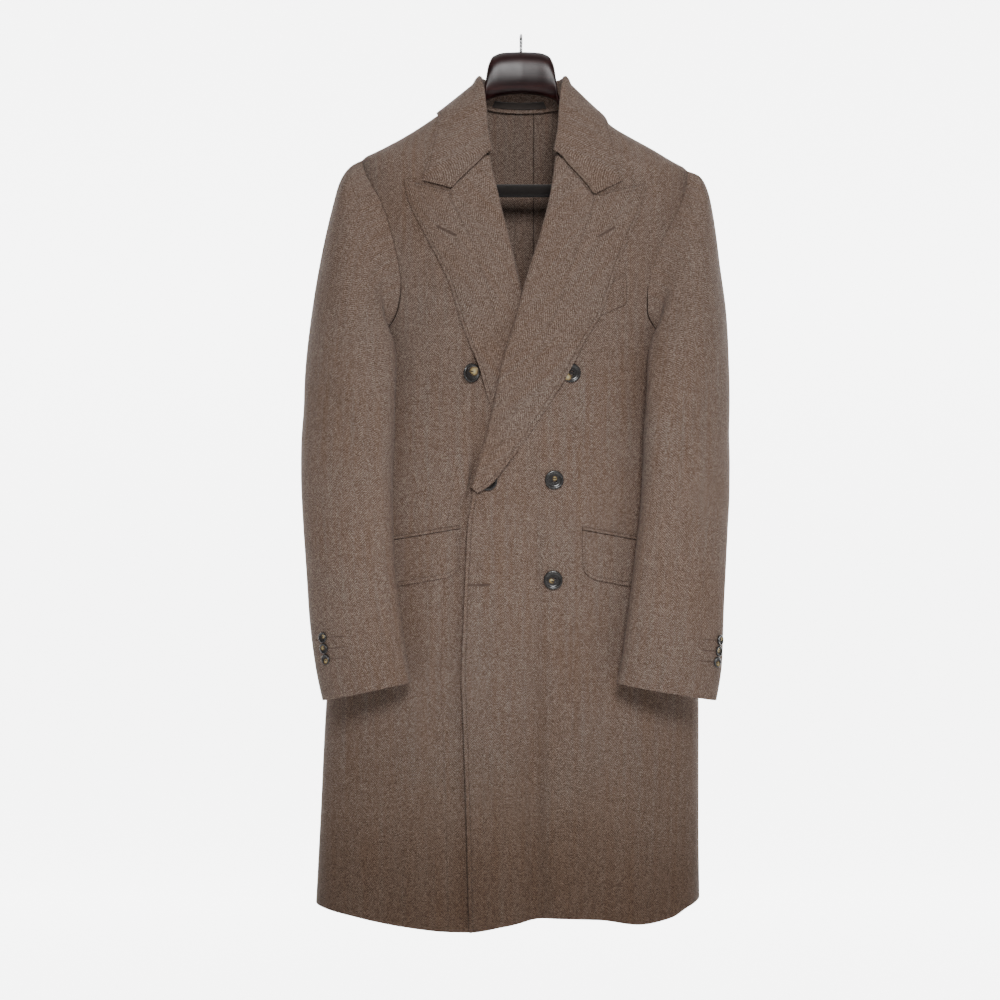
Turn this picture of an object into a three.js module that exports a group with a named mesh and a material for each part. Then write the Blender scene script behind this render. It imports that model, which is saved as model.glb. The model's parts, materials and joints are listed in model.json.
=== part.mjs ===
// Double-breasted herringbone overcoat on its hanger.
// Millimetres, +Z up. The front of the coat faces -Y and +X is the wearer's left.
// The origin is the underside of the hook's bow, where a rail would carry it.
import * as THREE from 'three';

const CLOTH = 2.4;
const SEAM_GAP = 0.3;
const LAYER_GAP = 0.6;
const FOLD_RADIUS = CLOTH / 2 + LAYER_GAP + CLOTH;
const FACING_LEG = 14;
const UNDERLAP_DROP = 3 * CLOTH + 4 * LAYER_GAP;
const FRONT_ROUNDNESS = 2.0;
const BACK_ROUNDNESS = 2.25;
const NECK_POINT_Z = -79;
const BACK_NECK_Z = -95;
const BACK_NECK_LEVELS = [-80.3, -83, -86.5, -90, -92.8, -94.4, -94.9];
const BODY_BEND_Z = -178;
const CREASE = { start: -70, end: -52 };
const VENT_TOP_Z = -800;
const VENT_LAP = 42;
const HEM_Z = -1150;
const HEM_EASE_Z = -880;
const BUTTON_RADIUS = 12.2;
const BUTTON_HEIGHT = 3.6;
const CUFF_BUTTON_RADIUS = 6.7;
const CUFF_BUTTON_HEIGHT = 2.6;
const HOOK_WIRE = 4;
const HOOK_BOW = 10;

const PANEL_COLUMNS = 10;
const UNDER_COLUMNS = { covered: 3, step: 4, open: 7 };
const ARMHOLE_STEPS = 12;
const NECK_STEPS = 5;
const SKIRT_STEPS = 16;
const BUTTON_SIDES = 14;

// Rings of the body at each height: half widths to the wearer's right and left, depths to
// the front and back of the ring's centre, and that centre's y.
const BODY = table(['z', 'right', 'left', 'front', 'back', 'centre'], [
  [-58, 45, 42, 18, 34, 0],
  [-79, 72, 68, 31, 42, 0],
  [-99, 103, 98, 46, 50, -2],
  [-119, 132, 121, 55, 56, -4],
  [-135, 158, 148, 62, 60, -6],
  [-149, 184, 173, 68, 64, -8],
  [-162, 207, 194, 73, 67, -9],
  [-178, 208, 218, 78, 70, -11],
  [-220, 207, 217, 85, 75, -14],
  [-300, 203, 209, 92, 80, -14],
  [-400, 199, 201, 95, 82, -12],
  [-460, 202, 200, 93, 79, -11],
  [-540, 214, 205, 92, 76, -10],
  [-640, 230, 215, 93, 78, -8],
  [-740, 243, 225, 95, 81, -6],
  [-880, 255, 232, 98, 86, -4],
  [-1020, 262, 232, 102, 90, -2],
  [-1170, 270, 234, 106, 94, 0],
]);

// Soft folds of the skirt: x of the fold at its top and at the hem, top height, how far it
// stands in or out at the hem, and its half width.
const FOLDS = [
  { top: -440, x: 12, hemX: 17, rise: -9, spread: 15 },
  { top: -470, x: 44, hemX: 52, rise: 6, spread: 24 },
  { top: -520, x: -40, hemX: -36, rise: 4, spread: 26 },
  { top: -820, x: 98, hemX: 104, rise: -5, spread: 20 },
  { top: -640, x: -165, hemX: -178, rise: -5, spread: 26 },
  { top: -700, x: 185, hemX: 190, rise: -4, spread: 22 },
];
const BACK_FOLDS = [
  { top: -430, x: -96, hemX: -112, rise: -8, spread: 30 },
  { top: -470, x: 88, hemX: 104, rise: -7, spread: 28 },
  { top: -600, x: -30, hemX: -40, rise: 5, spread: 30 },
  { top: -560, x: 170, hemX: 182, rise: 5, spread: 26 },
];

// Height of the hem round the ring, by angle in degrees from the front centre.
const HEM = table(['angle', 'z'], [
  [-180, -1124], [-120, -1128], [-88, -1131], [-57, -1141], [-35, -1153], [-16, -1159],
  [-4, -1150], [8, -1140], [26, -1144], [41, -1151], [56, -1145], [68, -1133], [90, -1124],
  [135, -1128], [180, -1124],
]);

// Front edge of each front: neckline, then roll line, then the straight edge to the hem.
const OVER_EDGE = table(['z', 'x'], [
  [-1165, -66], [-1110, -67.6], [-1018, -69.9], [-950, -72.2], [-882, -74.8], [-836, -76.8],
  [-772, -74.8], [-687, -71.3], [-644, -69], [-626, -67.1], [-605, -63.6], [-592, -62.6],
  [-568, -56.4], [-546, -49], [-516, -40], [-477, -31], [-436, -22.5], [-404, -14], [-372, -4],
  [-339, 5], [-304, 15.6], [-270, 26.8], [-238, 36.4], [-208, 44], [-185, 48.4], [-162, 51.2],
  [-135, 54], [-112, 60], [-95, 66], [-79, 73],
]);
const UNDER_EDGE = table(['z', 'x'], [
  [-1165, 64], [-700, 64], [-600, 62], [-588, 54.5], [-572, 50.5], [-550, 44.5], [-517, 35.5],
  [-477, 25.5], [-437, 16.5], [-400, 8.5], [-371, 3.5], [-336, -5], [-303, -12.5], [-270, -20.5],
  [-238, -29], [-208, -36], [-183, -42], [-162, -46], [-135, -51], [-112, -58],
  [-95, -64.5], [-79, -72],
]);

// Armhole seam on each side, as distance from the middle on the front and on the back.
const RIGHT_ARMHOLE = table(['z', 'front', 'back'], [
  [-400, 199, 199], [-393, 183, 189], [-380, 169, 182], [-360, 159, 178], [-331, 155, 176],
  [-271, 165, 180], [-219, 182, 190], [-178, 203, 203], [-162, 207, 207],
]);
const LEFT_ARMHOLE = table(['z', 'front', 'back'], [
  [-400, 201, 201], [-394, 185, 190], [-382, 171, 184], [-362, 162, 180], [-339, 162, 179],
  [-314, 168, 180], [-270, 183, 186], [-222, 207, 202], [-190, 216, 215], [-177, 217, 217],
]);

// Sleeve rings: the outer line, the inner line, the half depth between front and rear, how
// far the inner front bulges over the coat's front, and the gap kept to the body.
const SLEEVE_COLUMNS = ['outZ', 'outX', 'outY', 'inZ', 'inX', 'inY', 'depth', 'bulge', 'press'];
const RIGHT_SLEEVE = rows(SLEEVE_COLUMNS, [
  [-162, 207, -9, -400, 199, -12, 60, 0, 0],
  [-171, 223, -10, -408, 198, -18, 62, 0, 5],
  [-190, 236, -12, -417, 190, -30, 63, 25, 5],
  [-225, 246, -17, -430, 180, -46, 61, 45, 5],
  [-280, 259, -25, -447, 170, -66, 57, 36, 5],
  [-350, 270, -35, -470, 164, -84, 53, 20, 5],
  [-430, 279, -46, -508, 162, -96, 49, 4, 5],
  [-520, 284, -56, -562, 164, -100, 46, 0, 6],
  [-600, 283, -64, -622, 164, -103, 44, 0, 7],
  [-680, 278, -72, -690, 161, -107, 41, 0, 7],
  [-760, 272, -80, -755, 153, -111, 38, 0, 6],
  [-820, 264, -86, -805, 146, -114, 35, 0, 5],
  [-862, 255, -90, -837, 140, -116, 33, 0, 5],
]);
const LEFT_SLEEVE = rows(SLEEVE_COLUMNS, [
  [-177, 217, -11, -400, 201, -12, 60, 0, 0],
  [-184, 233, -12, -408, 200, -18, 62, 0, 7],
  [-202, 243, -14, -417, 192, -30, 63, 25, 5],
  [-234, 250, -18, -430, 182, -46, 61, 45, 5],
  [-290, 258, -26, -447, 171, -66, 57, 36, 5],
  [-355, 266, -36, -470, 163, -84, 53, 20, 5],
  [-430, 269, -46, -508, 157, -96, 49, 4, 5],
  [-520, 270, -56, -562, 155, -100, 46, 0, 6],
  [-600, 268, -64, -622, 151, -103, 44, 0, 7],
  [-680, 264, -72, -690, 143, -107, 41, 0, 7],
  [-760, 260, -80, -755, 135, -111, 38, 0, 6],
  [-820, 257, -86, -805, 128, -114, 35, 0, 5],
  [-862, 250, -90, -839, 121, -116, 33, 0, 5],
]);
const SLEEVE_RELEASE_ROWS = 5;
const SLEEVE_SEAM_TURN = 0.35;
const TOP_SLEEVE_STEPS = 14;
const UNDER_SLEEVE_STEPS = 10;
const SLEEVE_LEVELS = [0, 0.4, 0.9, 1.6, 2.5, 3.5, 4.5, 5.6, 6.8, 8, 9.2, 10.4, 11.3, 12];
const SLEEVE_SEAMS = table(['row', 'rear', 'front'], [
  [0, -45, 165], [2.5, -34, 178], [6, -8, 192], [12, 4, 196],
]);

// Lapels, row by row from the gorge to the break: the roll line and the outer edge.
const LAPEL_COLUMNS = ['rollX', 'rollZ', 'edgeX', 'edgeZ'];
const OVER_LAPEL = rows(LAPEL_COLUMNS, [
  [43.8, -163, 160.8, -198], [41.8, -179, 157.2, -212.5], [37.5, -208, 150.5, -238],
  [31, -238, 139, -265], [22, -270, 127, -294], [11, -304, 114.7, -329],
  [0.8, -339, 100.6, -368], [-8.2, -374, 82.7, -399], [-18, -404, 67.3, -427],
  [-27, -436, 47.6, -463], [-36, -482, 20, -507], [-45, -520, -12, -553],
  [-54.5, -550, -32.5, -580], [-60.5, -570, -44, -590], [-65, -588, -55.6, -597],
]);
const UNDER_LAPEL = rows(LAPEL_COLUMNS, [
  [-40.2, -163, -150.3, -193.5], [-36.5, -183, -148, -208], [-30.5, -208, -143.5, -224],
  [-23.5, -238, -131, -250], [-15, -270, -117, -277], [-7, -303, -103, -304],
  [0.8, -336, -91, -331], [9, -371, -81, -365], [16, -400, -69, -399],
  [24, -437, -55.6, -431], [33, -477, -42.8, -477], [43, -517, -21, -528],
  [52, -550, 11, -567], [58, -572, 36, -588], [63, -588, 53, -598],
]);
const NOTCH = { column: 0.45, over: [89.1, -217], under: [-90.1, -209.5], easeRows: 4 };
const LAPEL_FRACTIONS = [0.12, 0.28, 0.45, 0.62, 0.8, 0.92, 1];
const LAPEL_PUFF = 2.6;
const LAPEL_SLACK = 10;
const LAPEL_LIFTS = [
  { x: 63, z: -443, rise: 6, spread: 34 },
  { x: -43, z: -581, rise: 5.4, spread: 30 },
  { x: 92, z: -352, rise: 3.2, spread: 40 },
];

// Collar, from the gorge round to the centre back: neckline seam, fold and leaf edge, each
// for the wearer's left half. The right half mirrors it about the collar's own middle.
const COLLAR_MIDDLE = 2;
const COLLAR_COLUMNS = ['seamX', 'seamZ', 'foldX', 'foldY', 'foldZ', 'leafX', 'leafZ'];
const COLLAR = rows(COLLAR_COLUMNS, [
  [44.5, -158, 42, -84, -157.5, 128.5, -195.5],
  [47, -146, 45, -74, -143, 125, -182],
  [50, -133, 47.5, -63, -127, 121.5, -169],
  [55, -112, 50, -42, -97, 114.5, -136],
  [61.5, -94, 53, -20, -70, 108.5, -113],
  [68.5, -78, 56, 4, -54, 104.5, -103],
  [60.8, -83.4, 54, 24, -54, 102, -113],
  [51, -87.5, 45, 40, -56, 88, -120],
  [30, -92, 25, 51, -58, 56, -124],
  [0, -94, 0, 54, -59, 0, -125],
]);
const COLLAR_RIDGE = 5;
const COLLAR_STEPS = 22;
const COLLAR_NOTCH = { fraction: 0.55, left: -214.5, right: -207 };
const COLLAR_FOLD = 3.8;
const COLLAR_SEAM_LIFT = -8.4;
const COLLAR_LIE = 1.3;
const LOOP = { left: 30, right: -34, gap: 0.5, thickness: 1.6 };

// Pocket mouths on the fronts, with the flap that hangs from each.
const POCKETS = [
  { side: 'right', x: -80, z: -642.5, endX: -226, endZ: -668, depth: 60 },
  { side: 'left', x: 77.5, z: -644, endX: 212, endZ: -669, depth: 61 },
];
const FLAP_CORNER = 14;
const JET_HEIGHT = 5;
const CHEST_WELT = { outer: [134.5, -316, -354], inner: [76, -350, -380] };

const FRONT_BUTTONS = [
  { name: 'front_button_left_top', x: 63.5, z: -442.6, layer: 'over', lift: 0.6 },
  { name: 'front_button_left_middle', x: 41.7, z: -579.6, layer: 'over', lift: 0 },
  { name: 'front_button_left_low', x: 40.4, z: -707.6, layer: 'over', lift: -1 },
  { name: 'front_button_right_top', x: -64.5, z: -442.6, layer: 'fold', lift: 2.6 },
  { name: 'front_button_right_middle', x: -42.8, z: -581, layer: 'over', lift: 0.1 },
  { name: 'front_button_right_low', x: -44, z: -709, layer: 'hidden', lift: 0.6 },
];
const CUFF_BUTTONS = {
  right: [{ x: 252.5, z: -780.5 }, { x: 250.8, z: -794.5 }, { x: 248.5, z: -808.3 }],
  left: [{ x: 253, z: -784.4 }, { x: 251.2, z: -798.3 }, { x: 248.8, z: -812.2 }],
};

// Hanger: crown and arms, by distance from the middle.
const HANGER = rows(['x', 'top', 'bottom', 'depth', 'centre'], [
  [0, -19.6, -74.5, 12, 0], [22, -20.5, -76.5, 13, 0], [36, -25, -80, 14, 0],
  [43, -37, -83, 14, 0], [46, -54, -86, 14, 0], [48.5, -74, -91, 12, 0],
  [58, -86, -99, 11, 0], [74, -93, -110, 12, -1], [100, -107.2, -128, 12, -3],
  [140, -134.8, -157, 13, -6], [176, -155.6, -180, 14, -8], [185, -161.6, -185, 14, -9],
  [186, -162.6, -212, 14, -9], [197, -170.8, -212, 13, -9], [202, -179, -206, 9, -9],
]);
const HANGER_SIDES = 16;
const HANGER_ROUNDNESS = 2.6;
const BAR = { radius: 8.4, halfLength: 184.95, y: -9, z: -202 };
const FOLD_BUTTON_TURN = 0.7;
const CUFF_BUTTON_LIFT = 0.35;

// Materials
const cloth = new THREE.MeshStandardMaterial({ color: 0x7a6a5f, roughness: 0.95, metalness: 0 });
const horn = new THREE.MeshStandardMaterial({ color: 0x3a332c, roughness: 0.35, metalness: 0 });
const tape = new THREE.MeshStandardMaterial({ color: 0x2f2522, roughness: 0.8, metalness: 0 });
const wood = new THREE.MeshStandardMaterial({ color: 0x3a2022, roughness: 0.25, metalness: 0 });
const flock = new THREE.MeshStandardMaterial({ color: 0x1a1413, roughness: 0.95, metalness: 0 });
const chrome = new THREE.MeshStandardMaterial({ color: 0xb8b8ba, roughness: 0.2, metalness: 1 });

// Tables and curves
function rows(columns, values) {
  return values.map((row) => Object.fromEntries(columns.map((name, i) => [name, row[i]])));
}

function table(columns, values) {
  const key = columns[0];
  return { key, rows: rows(columns, values).sort((a, b) => a[key] - b[key]) };
}

// Smooth curve through a table's column, with no overshoot between its rows.
function at(source, column, key) {
  const list = source.rows;
  const k = THREE.MathUtils.clamp(key, list[0][source.key], list.at(-1)[source.key]);
  let i = 0;
  while (i < list.length - 2 && k > list[i + 1][source.key]) i += 1;
  const step = (n) => list[n + 1][source.key] - list[n][source.key];
  const slope = (n) => (list[n + 1][column] - list[n][column]) / step(n);
  const tangent = (n) => {
    if (n === 0) return slope(0);
    if (n === list.length - 1) return slope(n - 1);
    const [a, b] = [slope(n - 1), slope(n)];
    if (a * b <= 0) return 0;
    const [p, q] = [2 * step(n) + step(n - 1), step(n) + 2 * step(n - 1)];
    return (p + q) / (p / a + q / b);
  };
  return hermite(list[i][column], list[i + 1][column], tangent(i) * step(i),
    tangent(i + 1) * step(i), (k - list[i][source.key]) / step(i));
}

function hermite(a, b, ta, tb, t) {
  const [t2, t3] = [t * t, t * t * t];
  return a * (2 * t3 - 3 * t2 + 1) + ta * (t3 - 2 * t2 + t) + b * (3 * t2 - 2 * t3) + tb * (t3 - t2);
}

// A row in between the rows of a list, as a smooth curve by row number.
function between(list, columns, index) {
  const i = Math.min(list.length - 2, Math.floor(index));
  const mix = (column) => {
    const value = (n) => list[THREE.MathUtils.clamp(n, 0, list.length - 1)][column];
    const tangent = (n) => (value(n + 1) - value(n - 1)) / 2;
    return hermite(value(i), value(i + 1), tangent(i), tangent(i + 1), index - i);
  };
  return Object.fromEntries(columns.map((column) => [column, mix(column)]));
}

const { lerp, smoothstep } = THREE.MathUtils;
const bell = (d, spread) => Math.exp(-((d / spread) ** 2));
const vec = (x, y, z) => new THREE.Vector3(x, y, z);
const unit = (a, b) => b.clone().sub(a).normalize();

// Body surface. The angle is 0 at the front centre, +90 degrees at the wearer's left side
// and -90 at the right, and 180 at the centre back.
function ringPoint(angle, z) {
  const front = Math.abs(angle) <= Math.PI / 2;
  const power = 2 / (front ? FRONT_ROUNDNESS : BACK_ROUNDNESS);
  const [s, c] = [Math.sin(angle), Math.cos(angle)];
  const width = at(BODY, s < 0 ? 'right' : 'left', z);
  const depth = at(BODY, front ? 'front' : 'back', z);
  const x = Math.sign(s) * width * Math.abs(s) ** power;
  const y = at(BODY, 'centre', z) - Math.sign(c) * depth * Math.abs(c) ** power;
  return vec(x, y + (front ? -1 : 1) * foldRise(x, z, front ? FOLDS : BACK_FOLDS) * Math.abs(c), z);
}

function foldRise(x, z, folds) {
  return folds.reduce((sum, fold) => {
    const grown = smoothstep(-z, -fold.top, -HEM_Z + 60);
    const middle = lerp(fold.x, fold.hemX, grown);
    return sum + fold.rise * grown * bell(x - middle, fold.spread);
  }, 0);
}

function ringNormal(angle, z) {
  const a = 0.01;
  const across = ringPoint(angle + a, z).sub(ringPoint(angle - a, z));
  const up = ringPoint(angle, z + 3).sub(ringPoint(angle, z - 3));
  return across.cross(up).normalize();
}

function onRing(angle, z, lift) {
  return ringPoint(angle, z).addScaledVector(ringNormal(angle, z), lift);
}

function angleAt(x, z, back = false) {
  const width = at(BODY, x < 0 ? 'right' : 'left', z);
  const power = (back ? BACK_ROUNDNESS : FRONT_ROUNDNESS) / 2;
  const angle = Math.sign(x) * Math.asin(Math.min(1, Math.abs(x) / width) ** power);
  return back ? Math.sign(x || 1) * Math.PI - angle : angle;
}

const onFront = (x, z, lift) => onRing(angleAt(x, z), z, lift);

// The under front sinks beneath the overlapping one along the latter's edge.
function underStep(z) {
  const edge = at(OVER_EDGE, 'x', z);
  const crease = smoothstep(-z, 370, 420) * (1 - smoothstep(-z, 585, 640));
  const start = lerp(edge - 42, CREASE.start, crease);
  const end = lerp(edge - 9, Math.min(CREASE.end, edge - 6), crease);
  return { start, end, drop: lerp(UNDERLAP_DROP, 6.5, smoothstep(-z, 820, 940)) };
}

function underLift(x, z) {
  const { start, end, drop } = underStep(z);
  return -drop * smoothstep(x, start, end);
}

function hemZ(angle, z) {
  const drop = at(HEM, 'z', THREE.MathUtils.radToDeg(angle)) - HEM_Z;
  return z + drop * smoothstep(-z, -HEM_EASE_Z, -HEM_Z);
}

// Solids from grids of points
function wall(outer, inner) {
  const [n, m] = [outer.length, outer[0].length];
  const points = [...outer.flat(), ...inner.flat()];
  const index = [];
  const quad = (a, b, c, d) => index.push(a, b, c, a, c, d);
  const o = (i, j) => i * m + j;
  const k = (i, j) => n * m + i * m + j;
  for (let i = 0; i < n - 1; i += 1) {
    for (let j = 0; j < m - 1; j += 1) {
      quad(o(i, j), o(i + 1, j), o(i + 1, j + 1), o(i, j + 1));
      quad(k(i, j), k(i, j + 1), k(i + 1, j + 1), k(i + 1, j));
    }
    quad(o(i, 0), k(i, 0), k(i + 1, 0), o(i + 1, 0));
    quad(o(i, m - 1), o(i + 1, m - 1), k(i + 1, m - 1), k(i, m - 1));
  }
  for (let j = 0; j < m - 1; j += 1) {
    quad(o(0, j), o(0, j + 1), k(0, j + 1), k(0, j));
    quad(o(n - 1, j), k(n - 1, j), k(n - 1, j + 1), o(n - 1, j + 1));
  }
  return solid(points, index);
}

// Rings of equal counts joined into a closed bar with flat ends.
function loft(rings) {
  const m = rings[0].length;
  const index = [];
  rings.slice(1).forEach((_, i) => {
    for (let j = 0; j < m; j += 1) {
      const [a, b] = [i * m + j, i * m + ((j + 1) % m)];
      index.push(a, b, b + m, a, b + m, a + m);
    }
  });
  const last = (rings.length - 1) * m;
  for (let j = 1; j < m - 1; j += 1) {
    index.push(0, j + 1, j);
    index.push(last, last + j, last + j + 1);
  }
  return solid(rings.flat(), index);
}

function solid(points, index) {
  const volume = index.reduce((sum, _, i) => {
    if (i % 3) return sum;
    const [a, b, c] = [0, 1, 2].map((n) => points[index[i + n]]);
    return sum + a.dot(b.clone().cross(c));
  }, 0);
  if (volume < 0) {
    for (let i = 0; i < index.length; i += 3) {
      [index[i + 1], index[i + 2]] = [index[i + 2], index[i + 1]];
    }
  }
  const geometry = new THREE.BufferGeometry();
  geometry.setAttribute('position', new THREE.Float32BufferAttribute(points.flatMap((p) => [...p]), 3));
  geometry.setIndex(index);
  geometry.computeVertexNormals();
  return geometry;
}

// Normals of a grid of points, averaged over the faces round each point.
function gridNormals(grid) {
  const [n, m] = [grid.length, grid[0].length];
  return grid.map((row, i) => row.map((_, j) => {
    const down = grid[Math.min(i + 1, n - 1)][j].clone().sub(grid[Math.max(i - 1, 0)][j]);
    const along = grid[i][Math.min(j + 1, m - 1)].clone().sub(grid[i][Math.max(j - 1, 0)]);
    return down.cross(along).normalize();
  }));
}

const coat = new THREE.Group();
function add(name, geometry, material) {
  const mesh = new THREE.Mesh(geometry, material);
  mesh.name = name;
  coat.add(mesh);
  return mesh;
}

// Heights of the rows that all panels of one side share.
function bodyRows(armhole) {
  const top = armhole.rows.at(-1).z;
  const bottom = armhole.rows[0].z;
  const neck = Array.from({ length: NECK_STEPS }, (_, i) => {
    return lerp(NECK_POINT_Z, top, (i / NECK_STEPS) ** 1.15);
  });
  const arm = Array.from({ length: ARMHOLE_STEPS + 1 }, (_, i) => {
    return lerp(top, bottom, (1 - Math.cos((Math.PI * i) / ARMHOLE_STEPS)) / 2);
  });
  const skirt = Array.from({ length: SKIRT_STEPS }, (_, i) => lerp(bottom, HEM_Z, (i + 1) / SKIRT_STEPS));
  return [...neck, ...arm, ...skirt];
}

// Angle of the side boundary of a front or back panel: shoulder, armhole, then side seam.
function sideAngle(armhole, sign, z, back) {
  const top = armhole.rows.at(-1).z;
  const bottom = armhole.rows[0].z;
  const ridge = sign * (Math.PI / 2);
  if (z >= top || z <= bottom) return ridge;
  return angleAt(sign * at(armhole, back ? 'back' : 'front', z), z, back);
}

// One panel, row by row, from the angles of its columns at each height.
function panel(heights, anglesAt, lift) {
  const grids = [0, -CLOTH].map((depth) => heights.map((z) => anglesAt(z).map((angle) => {
    const height = hemZ(angle, z);
    return onRing(angle, height, lift(ringPoint(angle, height).x, z) + depth);
  })));
  return wall(...grids);
}

function spread(a, b, steps) {
  return Array.from({ length: steps + 1 }, (_, j) => lerp(a, b, j / steps));
}

// Columns from the front or centre back, of which the outer ones follow the armhole.
function follow(inner, outer, ridge, steps) {
  return spread(0, 1, steps).map((t) => lerp(inner, ridge, t) + (outer - ridge) * t * t);
}

// Half the seam gap as an angle, at the side seam and along the armhole.
function seamAngle(z, back) {
  const power = 2 / (back ? BACK_ROUNDNESS : FRONT_ROUNDNESS);
  return (SEAM_GAP / 2 / at(BODY, back ? 'back' : 'front', z)) ** (1 / power);
}

function overColumns(z) {
  const outer = sideAngle(LEFT_ARMHOLE, 1, z, false) - seamAngle(z, false);
  const inner = angleAt(at(OVER_EDGE, 'x', z), z);
  return follow(Math.min(inner, outer - 0.02), outer, Math.PI / 2, PANEL_COLUMNS);
}

// The right front has narrow columns where it steps down under the left one.
function underColumns(z) {
  const outer = sideAngle(RIGHT_ARMHOLE, -1, z, false) + seamAngle(z, false);
  const width = at(BODY, 'right', z);
  const edge = Math.max(at(UNDER_EDGE, 'x', z), -width);
  const room = Math.min(1, (edge + width * Math.abs(Math.sin(outer))) / 150);
  const { start, end } = underStep(z);
  const low = Math.min(end, edge - 8 * room);
  const high = Math.min(start, low - 24 * room);
  const angles = (a, b, steps) => spread(a, b, steps).map((x) => angleAt(x, z));
  const covered = angles(edge, low, UNDER_COLUMNS.covered);
  const step = angles(low, high, UNDER_COLUMNS.step);
  const open = spread(Math.max(step.at(-1), outer + 0.004), outer, UNDER_COLUMNS.open);
  return [...covered.slice(0, -1), ...step.slice(0, -1), ...open];
}

// Centre back seam, set a little to the wearer's left at the neck.
const backSeamX = (z) => lerp(17, 2, smoothstep(-z, 260, 760));

function backPanel(sign, armhole) {
  const heights = bodyRows(armhole);
  const outer = (z) => sideAngle(armhole, sign, z, true) + sign * seamAngle(z, true);
  const neck = (z) => {
    const run = Math.sqrt(Math.max(0, (z - BACK_NECK_Z) / (NECK_POINT_Z - BACK_NECK_Z)));
    return angleAt(sign * lerp(0.001, 72, run), z, true);
  };
  const sunk = (z) => smoothstep(-z, -VENT_TOP_Z - 80, -VENT_TOP_Z - 10);
  const seam = (z) => {
    const lap = sign < 0 ? VENT_LAP * smoothstep(-z, -VENT_TOP_Z, -VENT_TOP_Z + 40) : 0;
    const x = backSeamX(z) + lap + (sign * SEAM_GAP) / 2;
    const angle = angleAt(x || 0.001, z, true);
    return sign < 0 && angle > 0 ? angle - 2 * Math.PI : angle;
  };
  const inner = (z) => (z > BACK_NECK_Z ? neck(z) : seam(z));
  const lift = (x, z) => {
    if (sign > 0) return 0;
    return -(CLOTH + 2 * LAYER_GAP) * sunk(z) * smoothstep(x, backSeamX(z) - 60, backSeamX(z) - 2);
  };
  const levels = [NECK_POINT_Z, ...BACK_NECK_LEVELS, BACK_NECK_Z - 0.01,
    ...heights.filter((z) => z < BACK_NECK_Z)];
  return panel(levels, (z) => follow(inner(z), outer(z), (sign * Math.PI) / 2, PANEL_COLUMNS), lift);
}

add('front_left', panel(bodyRows(LEFT_ARMHOLE), overColumns, () => 0), cloth);
add('front_right', panel(bodyRows(RIGHT_ARMHOLE), underColumns, underLift), cloth);
add('back_left', backPanel(1, LEFT_ARMHOLE), cloth);
add('back_right', backPanel(-1, RIGHT_ARMHOLE), cloth);

// Lapels: the facing wraps the front's edge and lies over it out to the lapel's edge.
function lapelClearance(x, z, fraction, under) {
  const covered = under ? smoothstep(x, at(OVER_EDGE, 'x', z) - 60, at(OVER_EDGE, 'x', z) - 25) : 0;
  const puff = LAPEL_PUFF * Math.sin(Math.PI * Math.min(1, fraction)) * (1 - covered);
  const lifts = under ? [] : LAPEL_LIFTS;
  const raised = lifts.reduce((most, spot) => {
    return Math.max(most, spot.rise * bell(Math.hypot(x - spot.x, z - spot.z), spot.spread));
  }, 0);
  const bend = 0.8 * bell(z - BODY_BEND_Z, 16);
  return LAYER_GAP + (under ? 0.12 : 0.25) + Math.max(puff, raised, bend);
}

function lapelRow(row, i, list, notch, base, under) {
  const across = new THREE.Vector2(row.edgeX - row.rollX, row.edgeZ - row.rollZ);
  const width = across.length();
  across.divideScalar(width);
  const place = (distance) => [row.rollX + across.x * distance, row.rollZ + across.y * distance];
  const ease = Math.max(0, 1 - i / NOTCH.easeRows);
  const first = list[0];
  const bend = [notch[0] - lerp(first.rollX, first.edgeX, NOTCH.column),
    notch[1] - lerp(first.rollZ, first.edgeZ, NOTCH.column)];
  const paths = [[], []];
  const middle = -CLOTH / 2;
  const leg = Math.min(FACING_LEG, width * 0.5);
  const below = (x, z) => base(x + LAPEL_SLACK, z);
  const above = (x, z) => base(x - LAPEL_SLACK, z);
  const [endX, endZ] = place(FOLD_RADIUS + leg);
  [0, CLOTH].forEach((rise, n) => {
    paths[n].push(onFront(endX, endZ, below(endX, endZ) + middle - FOLD_RADIUS + rise));
  });
  [180, 126, 90, 54, 0].forEach((degrees) => {
    const turn = THREE.MathUtils.degToRad(degrees);
    [FOLD_RADIUS, FOLD_RADIUS - CLOTH].forEach((radius, n) => {
      const [x, z] = place(FOLD_RADIUS - radius * Math.sin(turn));
      const rest = lerp(below(x, z), above(x, z), (1 + Math.cos(turn)) / 2);
      paths[n].push(onFront(x, z, rest + middle + radius * Math.cos(turn)));
    });
  });
  LAPEL_FRACTIONS.forEach((fraction) => {
    const bent = ease * Math.min(fraction / NOTCH.column, (1 - fraction) / (1 - NOTCH.column));
    const [x0, z0] = place(lerp(FOLD_RADIUS, width, fraction));
    const [x, z] = [x0 + bend[0] * bent, z0 + bend[1] * bent];
    const gap = lapelClearance(x, z, fraction, under);
    [CLOTH, 0].forEach((rise, n) => paths[n].push(onFront(x, z, above(x, z) + gap + rise)));
  });
  return paths;
}

function lapel(list, notch, base, under) {
  const paths = list.map((row, i) => lapelRow(row, i, list, notch, base, under));
  return wall(paths.map((p) => p[0]), paths.map((p) => p[1]));
}

add('lapel_left', lapel(OVER_LAPEL, NOTCH.over, () => 0, false), cloth);
add('lapel_right', lapel(UNDER_LAPEL, NOTCH.under, underLift, true), cloth);

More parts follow.
